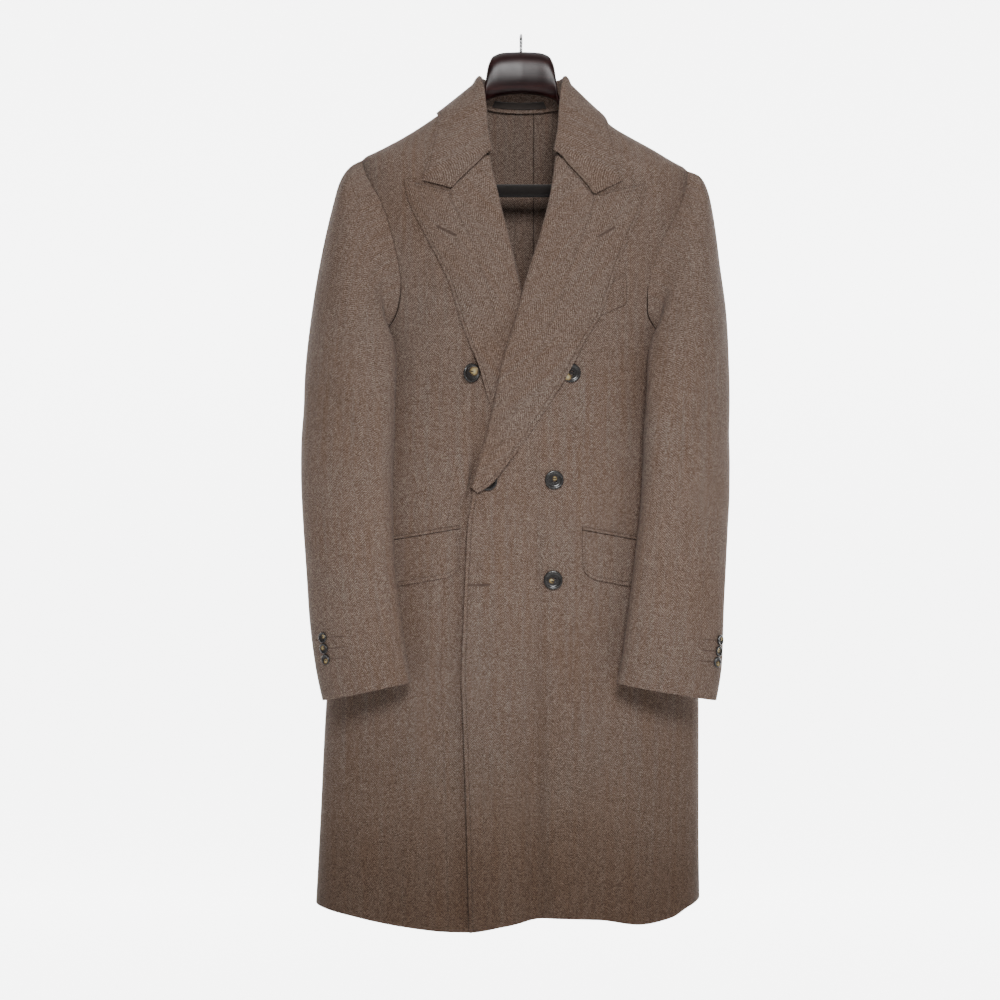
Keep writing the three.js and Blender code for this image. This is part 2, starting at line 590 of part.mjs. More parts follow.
// Pushes a point out until it stands a gap clear of the body's surface.
function outsideBody(point, gap) {
  const place = point.clone();
  for (let i = 0; i < 4; i += 1) {
    const { x, y, z } = place;
    const out = at(BODY, 'centre', z) - y;
    const half = (out > 0 ? FRONT_ROUNDNESS : BACK_ROUNDNESS) / 2;
    const across = (Math.abs(x) / at(BODY, x < 0 ? 'right' : 'left', z)) ** half;
    const along = (Math.abs(out) / at(BODY, out > 0 ? 'front' : 'back', z)) ** half;
    const angle = Math.atan2(Math.sign(x) * across, Math.sign(out) * along);
    const normal = ringNormal(angle, z);
    const short = gap - place.clone().sub(ringPoint(angle, z)).dot(normal);
    if (short <= 0) return place;
    place.addScaledVector(normal, short);
  }
  return place;
}

// Collar: one folded strip from the leaf edge, over the fold and down to the neckline.
function collarKnots(sign) {
  const place = (x, z, i, lift) => {
    const px = COLLAR_MIDDLE + sign * x;
    const angle = i === COLLAR_RIDGE ? (sign * Math.PI) / 2 : angleAt(px, z, i > COLLAR_RIDGE);
    return onRing(angle, z, lift);
  };
  return COLLAR.map((row, i) => {
    const leaf = place(row.leafX, row.leafZ, i, CLOTH + COLLAR_LIE);
    const seam = place(row.seamX, row.seamZ, i, COLLAR_SEAM_LIFT);
    return [COLLAR_MIDDLE + sign * row.foldX, row.foldY, row.foldZ, ...leaf, ...seam];
  });
}

function collarStation(knots, index, sign) {
  const row = Object.values(between(knots, knots[0].map((_, n) => n), index));
  const [fold, bare, seam] = [0, 3, 6].map((n) => vec(...row.slice(n, n + 3)));
  const leaf = outsideBody(bare, CLOTH + COLLAR_LIE);
  const [out, inward] = [unit(fold, leaf), unit(fold, seam)];
  const up = out.clone().add(inward).negate().normalize();
  const side = out.clone().sub(inward).normalize();
  const bend = (t) => {
    if (index > 0) return 0;
    const { fraction } = COLLAR_NOTCH;
    const deepest = (sign > 0 ? COLLAR_NOTCH.left : COLLAR_NOTCH.right) - lerp(fold.z, leaf.z, fraction);
    return deepest * Math.min((1 - t) / (1 - fraction), t / fraction);
  };
  const fall = [0.87, 0.7, COLLAR_NOTCH.fraction, 0.36, 0.18].map((t) => {
    const point = fold.clone().lerp(leaf, t);
    point.z += bend(t);
    return outsideBody(point, CLOTH + COLLAR_LIE + 4.5 * t * (1 - t));
  });
  const over = [[1, -0.4], [0.55, 0.75], [-0.55, 0.75], [-1, -0.4]].map(([a, b]) => {
    return fold.clone().addScaledVector(side, a * COLLAR_FOLD).addScaledVector(up, b * COLLAR_FOLD);
  });
  const stand = fold.clone().lerp(seam, 0.55).addScaledVector(side, -COLLAR_FOLD * 0.4);
  return [leaf, ...fall, ...over, stand, seam];
}

const collarHalf = (sign) => {
  const knots = collarKnots(sign);
  return spread(0, COLLAR.length - 1, COLLAR_STEPS).map((index) => collarStation(knots, index, sign));
};
const collarOuter = [...collarHalf(1), ...collarHalf(-1).reverse().slice(1)];

function collar() {
  const normals = gridNormals(collarOuter);
  const inner = collarOuter.map((row, i) => row.map((point, j) => {
    return point.clone().addScaledVector(normals[i][j], -CLOTH);
  }));
  return wall(collarOuter, inner);
}

// Hanging loop across the back of the stand.
function hangingLoop() {
  const reach = collarOuter.filter((path) => path.at(-1).y > 20 && Math.abs(path.at(-1).x) < 55);
  const [upper, lower] = [0.1, 0.62].map((t) => {
    return reach.map((path) => path.at(-2).clone().lerp(path.at(-1), t));
  });
  const along = (line, x) => {
    const i = line.findIndex((point, n) => n < line.length - 1 && line[n + 1].x <= x);
    return line[i].clone().lerp(line[i + 1], (x - line[i].x) / (line[i + 1].x - line[i].x));
  };
  const cut = (line, flare) => {
    return spread(LOOP.left + flare, LOOP.right - flare, 6).map((x) => along(line, x));
  };
  const lines = [cut(upper, 0), cut(lower, 4)];
  const face = (d) => lines.map((line) => line.map((point) => point.clone().add(vec(0, -d, -d * 0.3))));
  return wall(face(LOOP.gap + LOOP.thickness), face(LOOP.gap));
}

add('collar', collar(), cloth);
add('hanging_loop', hangingLoop(), tape);

// Sleeves: a tube from the armhole seam to the cuff, cut as a top and an under sleeve.
function sleeveEllipse(row, turn, sign) {
  const outer = vec(sign * row.outX, row.outY, row.outZ);
  const inner = vec(sign * row.inX, row.inY, row.inZ);
  const reach = outer.clone().sub(inner).multiplyScalar(0.5);
  const middle = outer.clone().add(inner).multiplyScalar(0.5);
  const bulge = row.bulge * Math.max(0, Math.sin(turn)) * Math.max(0, -Math.cos(turn)) ** 1.5;
  return middle.addScaledVector(reach, Math.cos(turn))
    .add(vec(-sign * bulge, -row.depth * Math.sin(turn), 0));
}

function armholeFrame(armhole, turn, sign) {
  const z = lerp(armhole.rows.at(-1).z, armhole.rows[0].z, (1 - Math.cos(turn)) / 2);
  const angle = sideAngle(armhole, sign, z, Math.sin(turn) < 0);
  return { point: onRing(angle, z, 0), normal: ringNormal(angle, z) };
}

function sleevePoint(side, turn, v) {
  const { list, armhole, sign } = side;
  const row = between(list, SLEEVE_COLUMNS, v);
  const point = sleeveEllipse(row, turn, sign);
  const hold = Math.max(0, 1 - v / SLEEVE_RELEASE_ROWS) ** 2;
  const gap = armholeFrame(armhole, turn, sign).point.sub(sleeveEllipse(list[0], turn, sign));
  point.addScaledVector(gap, hold);
  return v > 0.01 ? outsideBody(point, row.press) : point;
}

function sleeveNormal(side, turn, v) {
  const around = sleevePoint(side, turn + 0.18, v).sub(sleevePoint(side, turn - 0.18, v));
  const [a, b] = [Math.max(0.02, v - 0.2), Math.min(side.list.length - 1, v + 0.2)];
  const along = sleevePoint(side, turn, b).sub(sleevePoint(side, turn, a));
  return around.cross(along).multiplyScalar(side.sign).normalize();
}

// First row, beside the armhole seam. At the shoulder its edge is square to the body's
// cloth, and under the arm it has the sleeve's own slope.
function sleeveHead(side, turn) {
  const { point, normal } = armholeFrame(side.armhole, turn, side.sign);
  const centre = sleeveEllipse(side.list[0], Math.PI / 2, side.sign)
    .add(sleeveEllipse(side.list[0], -Math.PI / 2, side.sign)).multiplyScalar(0.5);
  const away = centre.sub(point);
  away.addScaledVector(normal, -away.dot(normal)).normalize();
  const low = smoothstep(-Math.cos(turn), 0.2, 0.75);
  const outer = point.addScaledVector(away, SEAM_GAP * 1.5).addScaledVector(normal, 3 * low);
  const square = normal.lerp(sleeveNormal(side, turn, SLEEVE_LEVELS[1]), low).normalize();
  return [outer, outer.clone().addScaledVector(square, -CLOTH)];
}

function sleevePiece(side, steps, turnsAt) {
  const grids = [[], []];
  SLEEVE_LEVELS.forEach((v) => {
    const turns = spread(...turnsAt(v), steps);
    turns[0] += SLEEVE_SEAM_TURN;
    turns[steps] -= SLEEVE_SEAM_TURN;
    const pairs = turns.map(THREE.MathUtils.degToRad).map((turn) => {
      if (v === 0) return sleeveHead(side, turn);
      const outer = sleevePoint(side, turn, v);
      return [outer, outer.clone().addScaledVector(sleeveNormal(side, turn, v), -CLOTH)];
    });
    grids.forEach((grid, n) => grid.push(pairs.map((pair) => pair[n])));
  });
  return wall(...grids);
}

const SIDES = {
  left: { sign: 1, armhole: LEFT_ARMHOLE, list: LEFT_SLEEVE },
  right: { sign: -1, armhole: RIGHT_ARMHOLE, list: RIGHT_SLEEVE },
};
Object.entries(SIDES).forEach(([name, side]) => {
  const top = (v) => [at(SLEEVE_SEAMS, 'rear', v), at(SLEEVE_SEAMS, 'front', v)];
  const under = (v) => [top(v)[1], top(v)[0] + 360];
  add(`top_sleeve_${name}`, sleevePiece(side, TOP_SLEEVE_STEPS, top), cloth);
  add(`under_sleeve_${name}`, sleevePiece(side, UNDER_SLEEVE_STEPS, under), cloth);
});

// Pieces that lie on a front: flaps, jets and the chest welt.
function patch(place, columns, levels, base, lift, thickness) {
  const grids = [lift + thickness, lift].map((height) => levels.map((v) => columns.map((u) => {
    const [x, z] = place(u, v);
    return onFront(x, z, base(x, z) + height);
  })));
  return wall(...grids);
}

const onLayer = (name) => (name === 'right' ? underLift : () => 0);
POCKETS.forEach(({ side, x, z, endX, endZ, depth }) => {
  const run = Math.hypot(endX - x, endZ - z);
  const corner = (u) => {
    const inset = Math.max(0, 1 - (Math.min(u, 1 - u) * run) / FLAP_CORNER);
    return FLAP_CORNER * (1 - Math.sqrt(1 - inset * inset));
  };
  const lean = (endX - x) / Math.abs(endX - x) * 0.02;
  const width = at(BODY, side, z);
  const turns = [x, endX].map((value) => Math.asin(value / width));
  const mouth = (u) => {
    const px = width * Math.sin(lerp(...turns, u));
    return [px, lerp(z, endZ, (px - x) / (endX - x))];
  };
  const flap = (u, v) => {
    const [px, pz] = mouth(u);
    return [px + lean * depth * v, pz - v * (depth - corner(u))];
  };
  const jet = (u, v) => {
    const [px, pz] = mouth(u);
    return [px, pz + SEAM_GAP + JET_HEIGHT * (1 - v)];
  };
  const columns = [0, 0.02, 0.06, 0.12, 0.18, 0.25, 0.34, 0.45, 0.56, 0.67, 0.78, 0.88, 0.95, 0.98, 1];
  add(`pocket_flap_${side}`, patch(flap, columns, [0, 0.33, 0.67, 1], onLayer(side), 0.8, CLOTH), cloth);
  add(`pocket_jet_${side}`, patch(jet, columns, [0, 1], onLayer(side), 0.8, 1.2), cloth);
});

function chestWelt() {
  const { outer, inner } = CHEST_WELT;
  const edgeZ = ([, upper, lower], v) => lerp(upper, lower, v);
  const place = (u, v) => [lerp(outer[0], inner[0], u), lerp(edgeZ(outer, v), edgeZ(inner, v), u)];
  return patch(place, spread(0, 1, 5), [0, 1], () => 0, 0.35, 1.8);
}
add('chest_welt', chestWelt(), cloth);

// Buttons: a dished disc with a raised rim.
function button(radius, height) {
  const profile = [[0, 0], [0.8, 0], [1, 0.35], [1, 0.8], [0.9, 1], [0.76, 1], [0.66, 0.72], [0, 0.72]];
  const points = profile.map(([r, h]) => new THREE.Vector2(r * radius, h * height));
  return new THREE.LatheGeometry(points, BUTTON_SIDES);
}

function sewOn(name, geometry, point, normal) {
  const mesh = add(name, geometry, horn);
  mesh.position.copy(point);
  mesh.quaternion.setFromUnitVectors(vec(0, 1, 0), normal);
}

FRONT_BUTTONS.forEach(({ name, x, z, layer, lift }) => {
  const angle = angleAt(x, z);
  const normal = ringNormal(angle, z);
  if (layer === 'fold') normal.applyAxisAngle(vec(0, 0, 1), FOLD_BUTTON_TURN);
  const base = layer === 'over' ? 0 : underLift(x, z);
  sewOn(name, button(BUTTON_RADIUS, BUTTON_HEIGHT), onRing(angle, z, base + lift), normal);
});

// A cuff button sits on the top sleeve where its x and z are, found along the ring.
function cuffSpot(side, x, z) {
  const last = side.list.length - 1;
  const gapAt = (turn, v) => {
    const p = sleevePoint(side, turn, v);
    return [Math.abs(p.x) - x, p.z - z];
  };
  let [turn, v] = [0.5, last - 2];
  for (let i = 0; i < 30; i += 1) {
    const [dx, dz] = gapAt(turn, v);
    turn = THREE.MathUtils.clamp(turn + dx / 60, 0.05, 1.4);
    v = THREE.MathUtils.clamp(v + dz / 70, 0, last);
  }
  return { turn, v };
}

Object.entries(CUFF_BUTTONS).forEach(([name, spots]) => spots.forEach(({ x, z }, i) => {
  const side = SIDES[name];
  const { turn, v } = cuffSpot(side, x, z);
  const normal = sleeveNormal(side, turn, v);
  const point = sleevePoint(side, turn, v).addScaledVector(normal, CUFF_BUTTON_LIFT);
  sewOn(`cuff_button_${name}_${i + 1}`, button(CUFF_BUTTON_RADIUS, CUFF_BUTTON_HEIGHT), point, normal);
}));

// Hanger: crown and arms as one body, a bar across its tips and a wire hook on top.
function hangerRing(row, sign) {
  const [middle, half] = [(row.top + row.bottom) / 2, (row.top - row.bottom) / 2];
  const shape = (value) => Math.sign(value) * Math.abs(value) ** (2 / HANGER_ROUNDNESS);
  return Array.from({ length: HANGER_SIDES }, (_, j) => {
    const turn = (2 * Math.PI * (j + 0.5)) / HANGER_SIDES;
    const y = row.centre + row.depth * shape(Math.cos(turn));
    return vec(sign * row.x, y, middle + half * shape(Math.sin(turn)));
  });
}

const arm = HANGER.slice(1);
add('hanger_body', loft([
  ...arm.toReversed().map((row) => hangerRing(row, -1)),
  hangerRing(HANGER[0], 1),
  ...arm.map((row) => hangerRing(row, 1)),
]), wood);

const barGeometry = new THREE.CylinderGeometry(BAR.radius, BAR.radius, 2 * BAR.halfLength, 18);
barGeometry.rotateZ(Math.PI / 2);
add('trouser_bar', barGeometry, flock).position.set(0, BAR.y, BAR.z);

function hook() {
  const bowZ = HOOK_WIRE / 2 - HOOK_BOW;
  const path = new THREE.CatmullRomCurve3([
    vec(0, 0, HANGER[0].top + SEAM_GAP), vec(0, 0.4, HANGER[0].top + 2.2), vec(0, 7.6, bowZ - 6),
    vec(0, HOOK_BOW, bowZ), vec(0, HOOK_BOW * 0.71, bowZ + HOOK_BOW * 0.71), vec(0, 0, bowZ + HOOK_BOW),
    vec(0, -HOOK_BOW * 0.71, bowZ + HOOK_BOW * 0.71), vec(0, -HOOK_BOW, bowZ), vec(0, -8.6, bowZ - 4),
  ]);
  const section = new THREE.Shape();
  section.absarc(0, 0, HOOK_WIRE / 2, 0, 2 * Math.PI);
  return new THREE.ExtrudeGeometry(section, { extrudePath: path, steps: 28, curveSegments: 5 });
}
add('hook', hook(), chrome);

export default coat;
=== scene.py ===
"""Dresses a double-breasted herringbone overcoat that hangs on a contoured hanger."""

import json
import math

import bpy
import numpy as np
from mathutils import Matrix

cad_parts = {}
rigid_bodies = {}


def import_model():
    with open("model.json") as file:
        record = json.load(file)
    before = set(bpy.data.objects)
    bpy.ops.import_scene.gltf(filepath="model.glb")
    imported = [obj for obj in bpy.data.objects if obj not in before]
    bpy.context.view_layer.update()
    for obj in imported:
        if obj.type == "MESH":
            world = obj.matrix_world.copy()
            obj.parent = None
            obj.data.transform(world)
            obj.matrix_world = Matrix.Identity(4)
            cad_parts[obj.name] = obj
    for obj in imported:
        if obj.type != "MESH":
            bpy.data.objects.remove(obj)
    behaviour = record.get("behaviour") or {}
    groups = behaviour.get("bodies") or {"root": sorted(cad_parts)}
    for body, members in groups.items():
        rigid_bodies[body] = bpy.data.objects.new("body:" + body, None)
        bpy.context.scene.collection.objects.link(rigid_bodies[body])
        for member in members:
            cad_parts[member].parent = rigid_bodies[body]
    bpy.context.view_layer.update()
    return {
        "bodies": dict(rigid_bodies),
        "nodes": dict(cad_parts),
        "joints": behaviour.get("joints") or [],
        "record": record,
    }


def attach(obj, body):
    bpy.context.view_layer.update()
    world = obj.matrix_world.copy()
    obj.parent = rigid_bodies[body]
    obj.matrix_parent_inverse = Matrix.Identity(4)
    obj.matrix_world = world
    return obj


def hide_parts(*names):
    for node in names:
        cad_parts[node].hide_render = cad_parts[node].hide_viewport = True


bl_info = {
    "name": "Herringbone overcoat",
    "version": (1, 0, 0),
    "blender": (4, 5, 0),
    "location": "3D View > Sidebar > Overcoat",
    "description": "Cloth, trims and hanger of a double-breasted overcoat",
    "category": "Object",
}

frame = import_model()
MM = 0.001
PI = math.pi

CLOTH = 2.2
LAYER_GAP = 0.6
SEAM_GAP = 0.04
FOLD_RADIUS = 4.2
FACING_LEG = 14
UNDERLAP_DROP = 9.6
FRONT_POWER = 2.0
BACK_POWER = 2.25
NECK_Z = -79
BACK_NECK_Z = -95
BEND_Z = -178
VENT_TOP_Z = -800
VENT_LAP = 42
HEM_Z = -1150
HEM_EASE_Z = -880
PANEL_STEP = 7.0
SMALL_TURN = 0.01
SMALL_DROP = 3

# Values of the stitch map: nothing near, and the mark that a distance is added to for a painted shade line
# along a seam, a jet's edges or the left front's edge.
FAR = 900.0
SHADE_LINE_MARK = -20
PICK_LENGTH, PICK_THICKNESS = 0.0019, 0.00075
PURL_LENGTH, PURL_THICKNESS, CUFF_PURL_LENGTH = 0.0022, 0.00078, 0.0014
THREAD_REST = 0.02


def smooth(x, a, b):
    t = np.clip((np.asarray(x, float) - a) / (b - a), 0, 1)
    return t * t * (3 - 2 * t)


def lerp(a, b, t):
    return a + (b - a) * t


def bell(distance, spread):
    return np.exp(-((distance / spread) ** 2))


def hermite(a, b, ta, tb, t):
    t2, t3 = t * t, t * t * t
    return a * (2 * t3 - 3 * t2 + 1) + ta * (t3 - 2 * t2 + t) + b * (3 * t2 - 2 * t3) + tb * (t3 - t2)


class Table:
    """Columns of sizes along a key, each a smooth curve with no overshoot between its rows."""

    def __init__(self, names, rows):
        data = np.array(sorted(rows), float)
        self.key = data[:, 0]
        self.step = np.diff(self.key)
        self.values = dict(zip(names[1:], data[:, 1:].T))
        self.tangents = {name: self.slopes(column) for name, column in self.values.items()}

    def slopes(self, column):
        s = np.diff(column) / self.step
        a, b = s[:-1], s[1:]
        p = 2 * self.step[1:] + self.step[:-1]
        q = self.step[1:] + 2 * self.step[:-1]
        same = a * b > 0
        safe_a, safe_b = np.where(same, a, 1), np.where(same, b, 1)
        middle = np.where(same, (p + q) / (p / safe_a + q / safe_b), 0)
        return np.concatenate([s[:1], middle, s[-1:]])

    def at(self, name, key):
        k = np.clip(np.asarray(key, float), self.key[0], self.key[-1])
        i = np.clip(np.searchsorted(self.key, k, side="right") - 1, 0, len(self.step) - 1)
        column, tangent, step = self.values[name], self.tangents[name], self.step[i]
        t = (k - self.key[i]) / step
        return hermite(column[i], column[i + 1], tangent[i] * step, tangent[i + 1] * step, t)


BODY = Table(["z", "right", "left", "front", "back", "centre"], [
    (-58, 45, 42, 18, 34, 0), (-79, 72, 68, 31, 42, 0), (-99, 103, 98, 46, 50, -2),
    (-119, 132, 121, 55, 56, -4), (-135, 158, 148, 62, 60, -6), (-149, 184, 173, 68, 64, -8),
    (-162, 207, 194, 73, 67, -9), (-178, 208, 218, 78, 70, -11), (-220, 207, 217, 85, 75, -14),
    (-300, 203, 209, 92, 80, -14), (-400, 199, 201, 95, 82, -12), (-460, 202, 200, 93, 79, -11),
    (-540, 214, 205, 92, 76, -10), (-640, 230, 215, 93, 78, -8), (-740, 243, 225, 95, 81, -6),
    (-880, 255, 232, 98, 86, -4), (-1020, 262, 232, 102, 90, -2), (-1170, 270, 234, 106, 94, 0),
])

FOLDS = [(-440, 12, 17, -9, 15), (-470, 44, 52, 6, 24), (-520, -40, -36, 4, 26),
         (-820, 98, 104, -5, 20), (-640, -165, -178, -5, 26), (-700, 185, 190, -4, 22)]
BACK_FOLDS = [(-430, -96, -112, -8, 30), (-470, 88, 104, -7, 28), (-600, -30, -40, 5, 30),
              (-560, 170, 182, 5, 26)]

# Soft dents of the cloth: from x, z to x, z, rise, half width. The back has its own.
DENTS = [
    ((13, -480), (16, -820), -3.6, 9), ((16, -760), (18, -1130), -2.6, 10),
    ((38, -560), (44, -900), 2.4, 15), ((-48, -640), (-46, -1100), -1.8, 9),
    ((-55, -440), (-64, -560), -1.2, 7), ((-90, -380), (-118, -620), -1.4, 22),
    ((-125, -300), (-150, -420), -2.0, 16), ((118, -300), (146, -430), -2.0, 16),
    ((92, -420), (112, -640), -1.2, 20), ((150, -480), (166, -620), 1.4, 18),
    ((-150, -500), (-160, -640), 1.2, 18), ((100, -720), (108, -1100), -1.8, 15),
    ((-120, -760), (-128, -1080), -1.6, 24), ((62, -820), (70, -1120), 1.2, 18),
    ((-96, -840), (-92, -1120), 1.3, 20), ((182, -860), (190, -1100), -1.6, 17),
    ((-205, -860), (-220, -1110), -1.8, 18), ((130, -175), (168, -240), -1.2, 16),
    ((-120, -170), (-160, -235), -1.2, 16),
]
BACK_DENTS = [
    ((-60, -160), (-110, -300), -2.0, 22), ((62, -170), (112, -310), -2.2, 22),
    ((-130, -330), (-80, -460), -2.0, 18), ((134, -320), (84, -450), -1.8, 18),
    ((-70, -520), (-88, -900), 1.8, 24), ((60, -540), (76, -940), 1.6, 26),
    ((0, -210), (4, -330), 1.0, 26), ((-150, -600), (-168, -1000), -1.8, 20),
    ((140, -620), (156, -1020), -1.6, 20), ((-20, -700), (-30, -780), -1.0, 12),
]

HEM = Table(["angle", "z"], [
    (-180, -1124), (-120, -1128), (-88, -1131), (-57, -1141), (-35, -1153), (-16, -1159),
    (-4, -1150), (8, -1140), (26, -1144), (41, -1151), (56, -1145), (68, -1133), (90, -1124),
    (135, -1128), (180, -1124),
])
OVER_EDGE = Table(["z", "x"], [
    (-1165, -66), (-1110, -67.6), (-1018, -69.9), (-950, -72.2), (-882, -74.8), (-836, -76.8),
    (-772, -74.8), (-687, -71.3), (-644, -69), (-626, -67.1), (-605, -63.6), (-592, -62.6),
    (-568, -56.4), (-546, -49), (-516, -40), (-477, -31), (-436, -22.5), (-404, -14), (-372, -4),
    (-339, 5), (-304, 15.6), (-270, 26.8), (-238, 36.4), (-208, 44), (-185, 48.4), (-162, 51.2),
    (-135, 54), (-112, 60), (-95, 66), (-79, 73),
])
UNDER_EDGE = Table(["z", "x"], [
    (-1165, 64), (-700, 64), (-600, 62), (-588, 54.5), (-572, 50.5), (-550, 44.5), (-517, 35.5),
    (-477, 25.5), (-437, 16.5), (-400, 8.5), (-371, 3.5), (-336, -5), (-303, -12.5),
    (-270, -20.5), (-238, -29), (-208, -36), (-183, -42), (-162, -46), (-135, -51), (-112, -58),
    (-95, -64.5), (-79, -72),
])
RIGHT_ARMHOLE = Table(["z", "front", "back"], [
    (-400, 199, 199), (-393, 183, 189), (-380, 169, 182), (-360, 159, 178), (-331, 155, 176),
    (-271, 165, 180), (-219, 182, 190), (-178, 203, 203), (-162, 207, 207),
])
LEFT_ARMHOLE = Table(["z", "front", "back"], [
    (-400, 201, 201), (-394, 185, 190), (-382, 171, 184), (-362, 162, 180), (-339, 162, 179),
    (-314, 168, 180), (-270, 183, 186), (-222, 207, 202), (-190, 216, 215), (-177, 217, 217),
])

# Sleeve rings: outer line z, x, y, inner line z, x, y, half depth, bulge, gap to the body.
RIGHT_SLEEVE = [
    (-162, 207, -9, -400, 199, -12, 60, 0, 0), (-171, 223, -10, -408, 198, -18, 62, 0, 5),
    (-190, 236, -12, -417, 190, -30, 63, 25, 5), (-225, 246, -17, -430, 180, -46, 61, 45, 5),
    (-280, 259, -25, -447, 170, -66, 57, 36, 5), (-350, 270, -35, -470, 164, -84, 53, 20, 5),
    (-430, 279, -46, -508, 162, -96, 49, 4, 5), (-520, 284, -56, -562, 164, -100, 46, 0, 6),
    (-600, 283, -64, -622, 164, -103, 44, 0, 7), (-680, 278, -72, -690, 161, -107, 41, 0, 7),
    (-760, 272, -80, -755, 153, -111, 38, 0, 6), (-820, 264, -86, -805, 146, -114, 35, 0, 5),
    (-862, 255, -90, -837, 140, -116, 33, 0, 5),
]
LEFT_SLEEVE = [
    (-177, 217, -11, -400, 201, -12, 60, 0, 0), (-184, 233, -12, -408, 200, -18, 62, 0, 7),
    (-202, 243, -14, -417, 192, -30, 63, 25, 5), (-234, 250, -18, -430, 182, -46, 61, 45, 5),
    (-290, 258, -26, -447, 171, -66, 57, 36, 5), (-355, 266, -36, -470, 163, -84, 53, 20, 5),
    (-430, 269, -46, -508, 157, -96, 49, 4, 5), (-520, 270, -56, -562, 155, -100, 46, 0, 6),
    (-600, 268, -64, -622, 151, -103, 44, 0, 7), (-680, 264, -72, -690, 143, -107, 41, 0, 7),
    (-760, 260, -80, -755, 135, -111, 38, 0, 6), (-820, 257, -86, -805, 128, -114, 35, 0, 5),
    (-862, 250, -90, -839, 121, -116, 33, 0, 5),
]
SIDES = {"left": (1, LEFT_ARMHOLE, LEFT_SLEEVE), "right": (-1, RIGHT_ARMHOLE, RIGHT_SLEEVE)}
SLEEVE_RELEASE = 5
SLEEVE_SEAMS = Table(["row", "rear", "front"], [
    (0, -45, 165), (2.5, -34, 178), (6, -8, 192), (12, 4, 196),
])

# Lapel rows from the gorge to the break: roll line x, z and outer edge x, z.
OVER_LAPEL = [
    (43.8, -163, 160.8, -198), (41.8, -179, 157.2, -212.5), (37.5, -208, 150.5, -238),
    (31, -238, 139, -265), (22, -270, 127, -294), (11, -304, 114.7, -329),
    (0.8, -339, 100.6, -368), (-8.2, -374, 82.7, -399), (-18, -404, 67.3, -427),
    (-27, -436, 47.6, -463), (-36, -482, 20, -507), (-45, -520, -12, -553),
    (-54.5, -550, -32.5, -580), (-60.5, -570, -44, -590), (-65, -588, -55.6, -597),
]
UNDER_LAPEL = [
    (-40.2, -163, -150.3, -193.5), (-36.5, -183, -148, -208), (-30.5, -208, -143.5, -224),
    (-23.5, -238, -131, -250), (-15, -270, -117, -277), (-7, -303, -103, -304),
    (0.8, -336, -91, -331), (9, -371, -81, -365), (16, -400, -69, -399),
    (24, -437, -55.6, -431), (33, -477, -42.8, -477), (43, -517, -21, -528),
    (52, -550, 11, -567), (58, -572, 36, -588), (63, -588, 53, -598),
]
NOTCH_COLUMN = 0.45
NOTCH_ROWS = 4
OVER_NOTCH = (89.1, -217)
UNDER_NOTCH = (-90.1, -209.5)
LAPEL_PUFF = 2.6
LAPEL_SLACK = 10
LAPEL_MIDDLE = -1.2
FOLD_TURNS = (180, 155, 130, 110, 90, 70, 50, 25, 0)
LAPEL_LIFTS = [(63, -443, 6, 34), (-43, -581, 5.4, 30), (92, -352, 3.2, 40)]

COLLAR_MIDDLE = 2
# Collar rows from the gorge to the centre back: neck seam x, z, fold x, y, z, leaf edge x, z.
COLLAR = [
    (44.5, -158, 42, -84, -157.5, 128.5, -195.5), (47, -146, 45, -74, -143, 125, -182),
    (50, -133, 47.5, -63, -127, 121.5, -169), (55, -112, 50, -42, -97, 114.5, -136),
    (61.5, -94, 53, -20, -70, 108.5, -113), (68.5, -78, 56, 4, -54, 104.5, -103),
    (60.8, -83.4, 54, 24, -54, 102, -113), (51, -87.5, 45, 40, -56, 88, -120),
    (30, -92, 25, 51, -58, 56, -124), (0, -94, 0, 54, -59, 0, -125),
]
COLLAR_RIDGE = 5
COLLAR_NOTCH = 0.55
COLLAR_NOTCH_Z = {1: -214.5, -1: -207}
COLLAR_FOLD = 3.8
COLLAR_LIE = 1.3
COLLAR_SEAM_LIFT = -8.4

POCKETS = {"right": (-80, -642.5, -226, -668, 60), "left": (77.5, -644, 212, -669, 61)}
FLAP_CORNER = 14
JET_HEIGHT = 5
WELT_OUTER = (134.5, -316, -354)
WELT_INNER = (76, -350, -380)

# Front buttons: node, x, z, layer, lift.
FRONT_BUTTONS = [
    ("front_button_left_top", 63.5, -442.6, "over", 0.6),
    ("front_button_left_middle", 41.7, -579.6, "over", 0.7),
    ("front_button_left_low", 40.4, -707.6, "over", 0.7),
    ("front_button_right_top", -64.5, -442.6, "fold", 2.6),
    ("front_button_right_middle", -42.8, -581, "over", 0.6),
    ("front_button_right_low", -44, -709, "hidden", 0.6),
]
CUFF_BUTTONS = {
    "right": [(252.5, -780.5), (250.8, -794.5), (248.5, -808.3)],
    "left": [(253, -784.4), (251.2, -798.3), (248.8, -812.2)],
}
# A button's section from the middle of its dish to its back, in shares of radius and height.
BUTTON_PROFILE = [
    (0, 0.70), (0.30, 0.70), (0.60, 0.72), (0.70, 0.80), (0.77, 0.95), (0.83, 1.02), (0.90, 1.0),
    (0.96, 0.92), (0.99, 0.78), (1.0, 0.55), (0.985, 0.32), (0.93, 0.12), (0.82, 0.0), (0.0, 0.0),
]
BUTTON_SIDES = 96
FRONT_BUTTON, FRONT_HOLES = (12.2, 3.6), 2.7
CUFF_BUTTON, CUFF_HOLES = (6.7, 2.6), 1.6
FOLD_BUTTON_TURN = 0.7
FRONT_HOLE_Z = -714.0
# Pale clouds of the buttons: place in shares of the radius and spread.
FRONT_CLOUDS = [(-0.45, -0.40, 0.36), (0.05, 0.15, 0.22), (-0.15, -0.05, 0.24), (0.25, 0.2, 0.42),
                (0.0, 0.1, 0.25), (0.1, -0.1, 0.25)]
CUFF_CLOUDS = [(0.3, 0.2, 0.35), (-0.2, 0.1, 0.4), (0.1, -0.3, 0.45)]
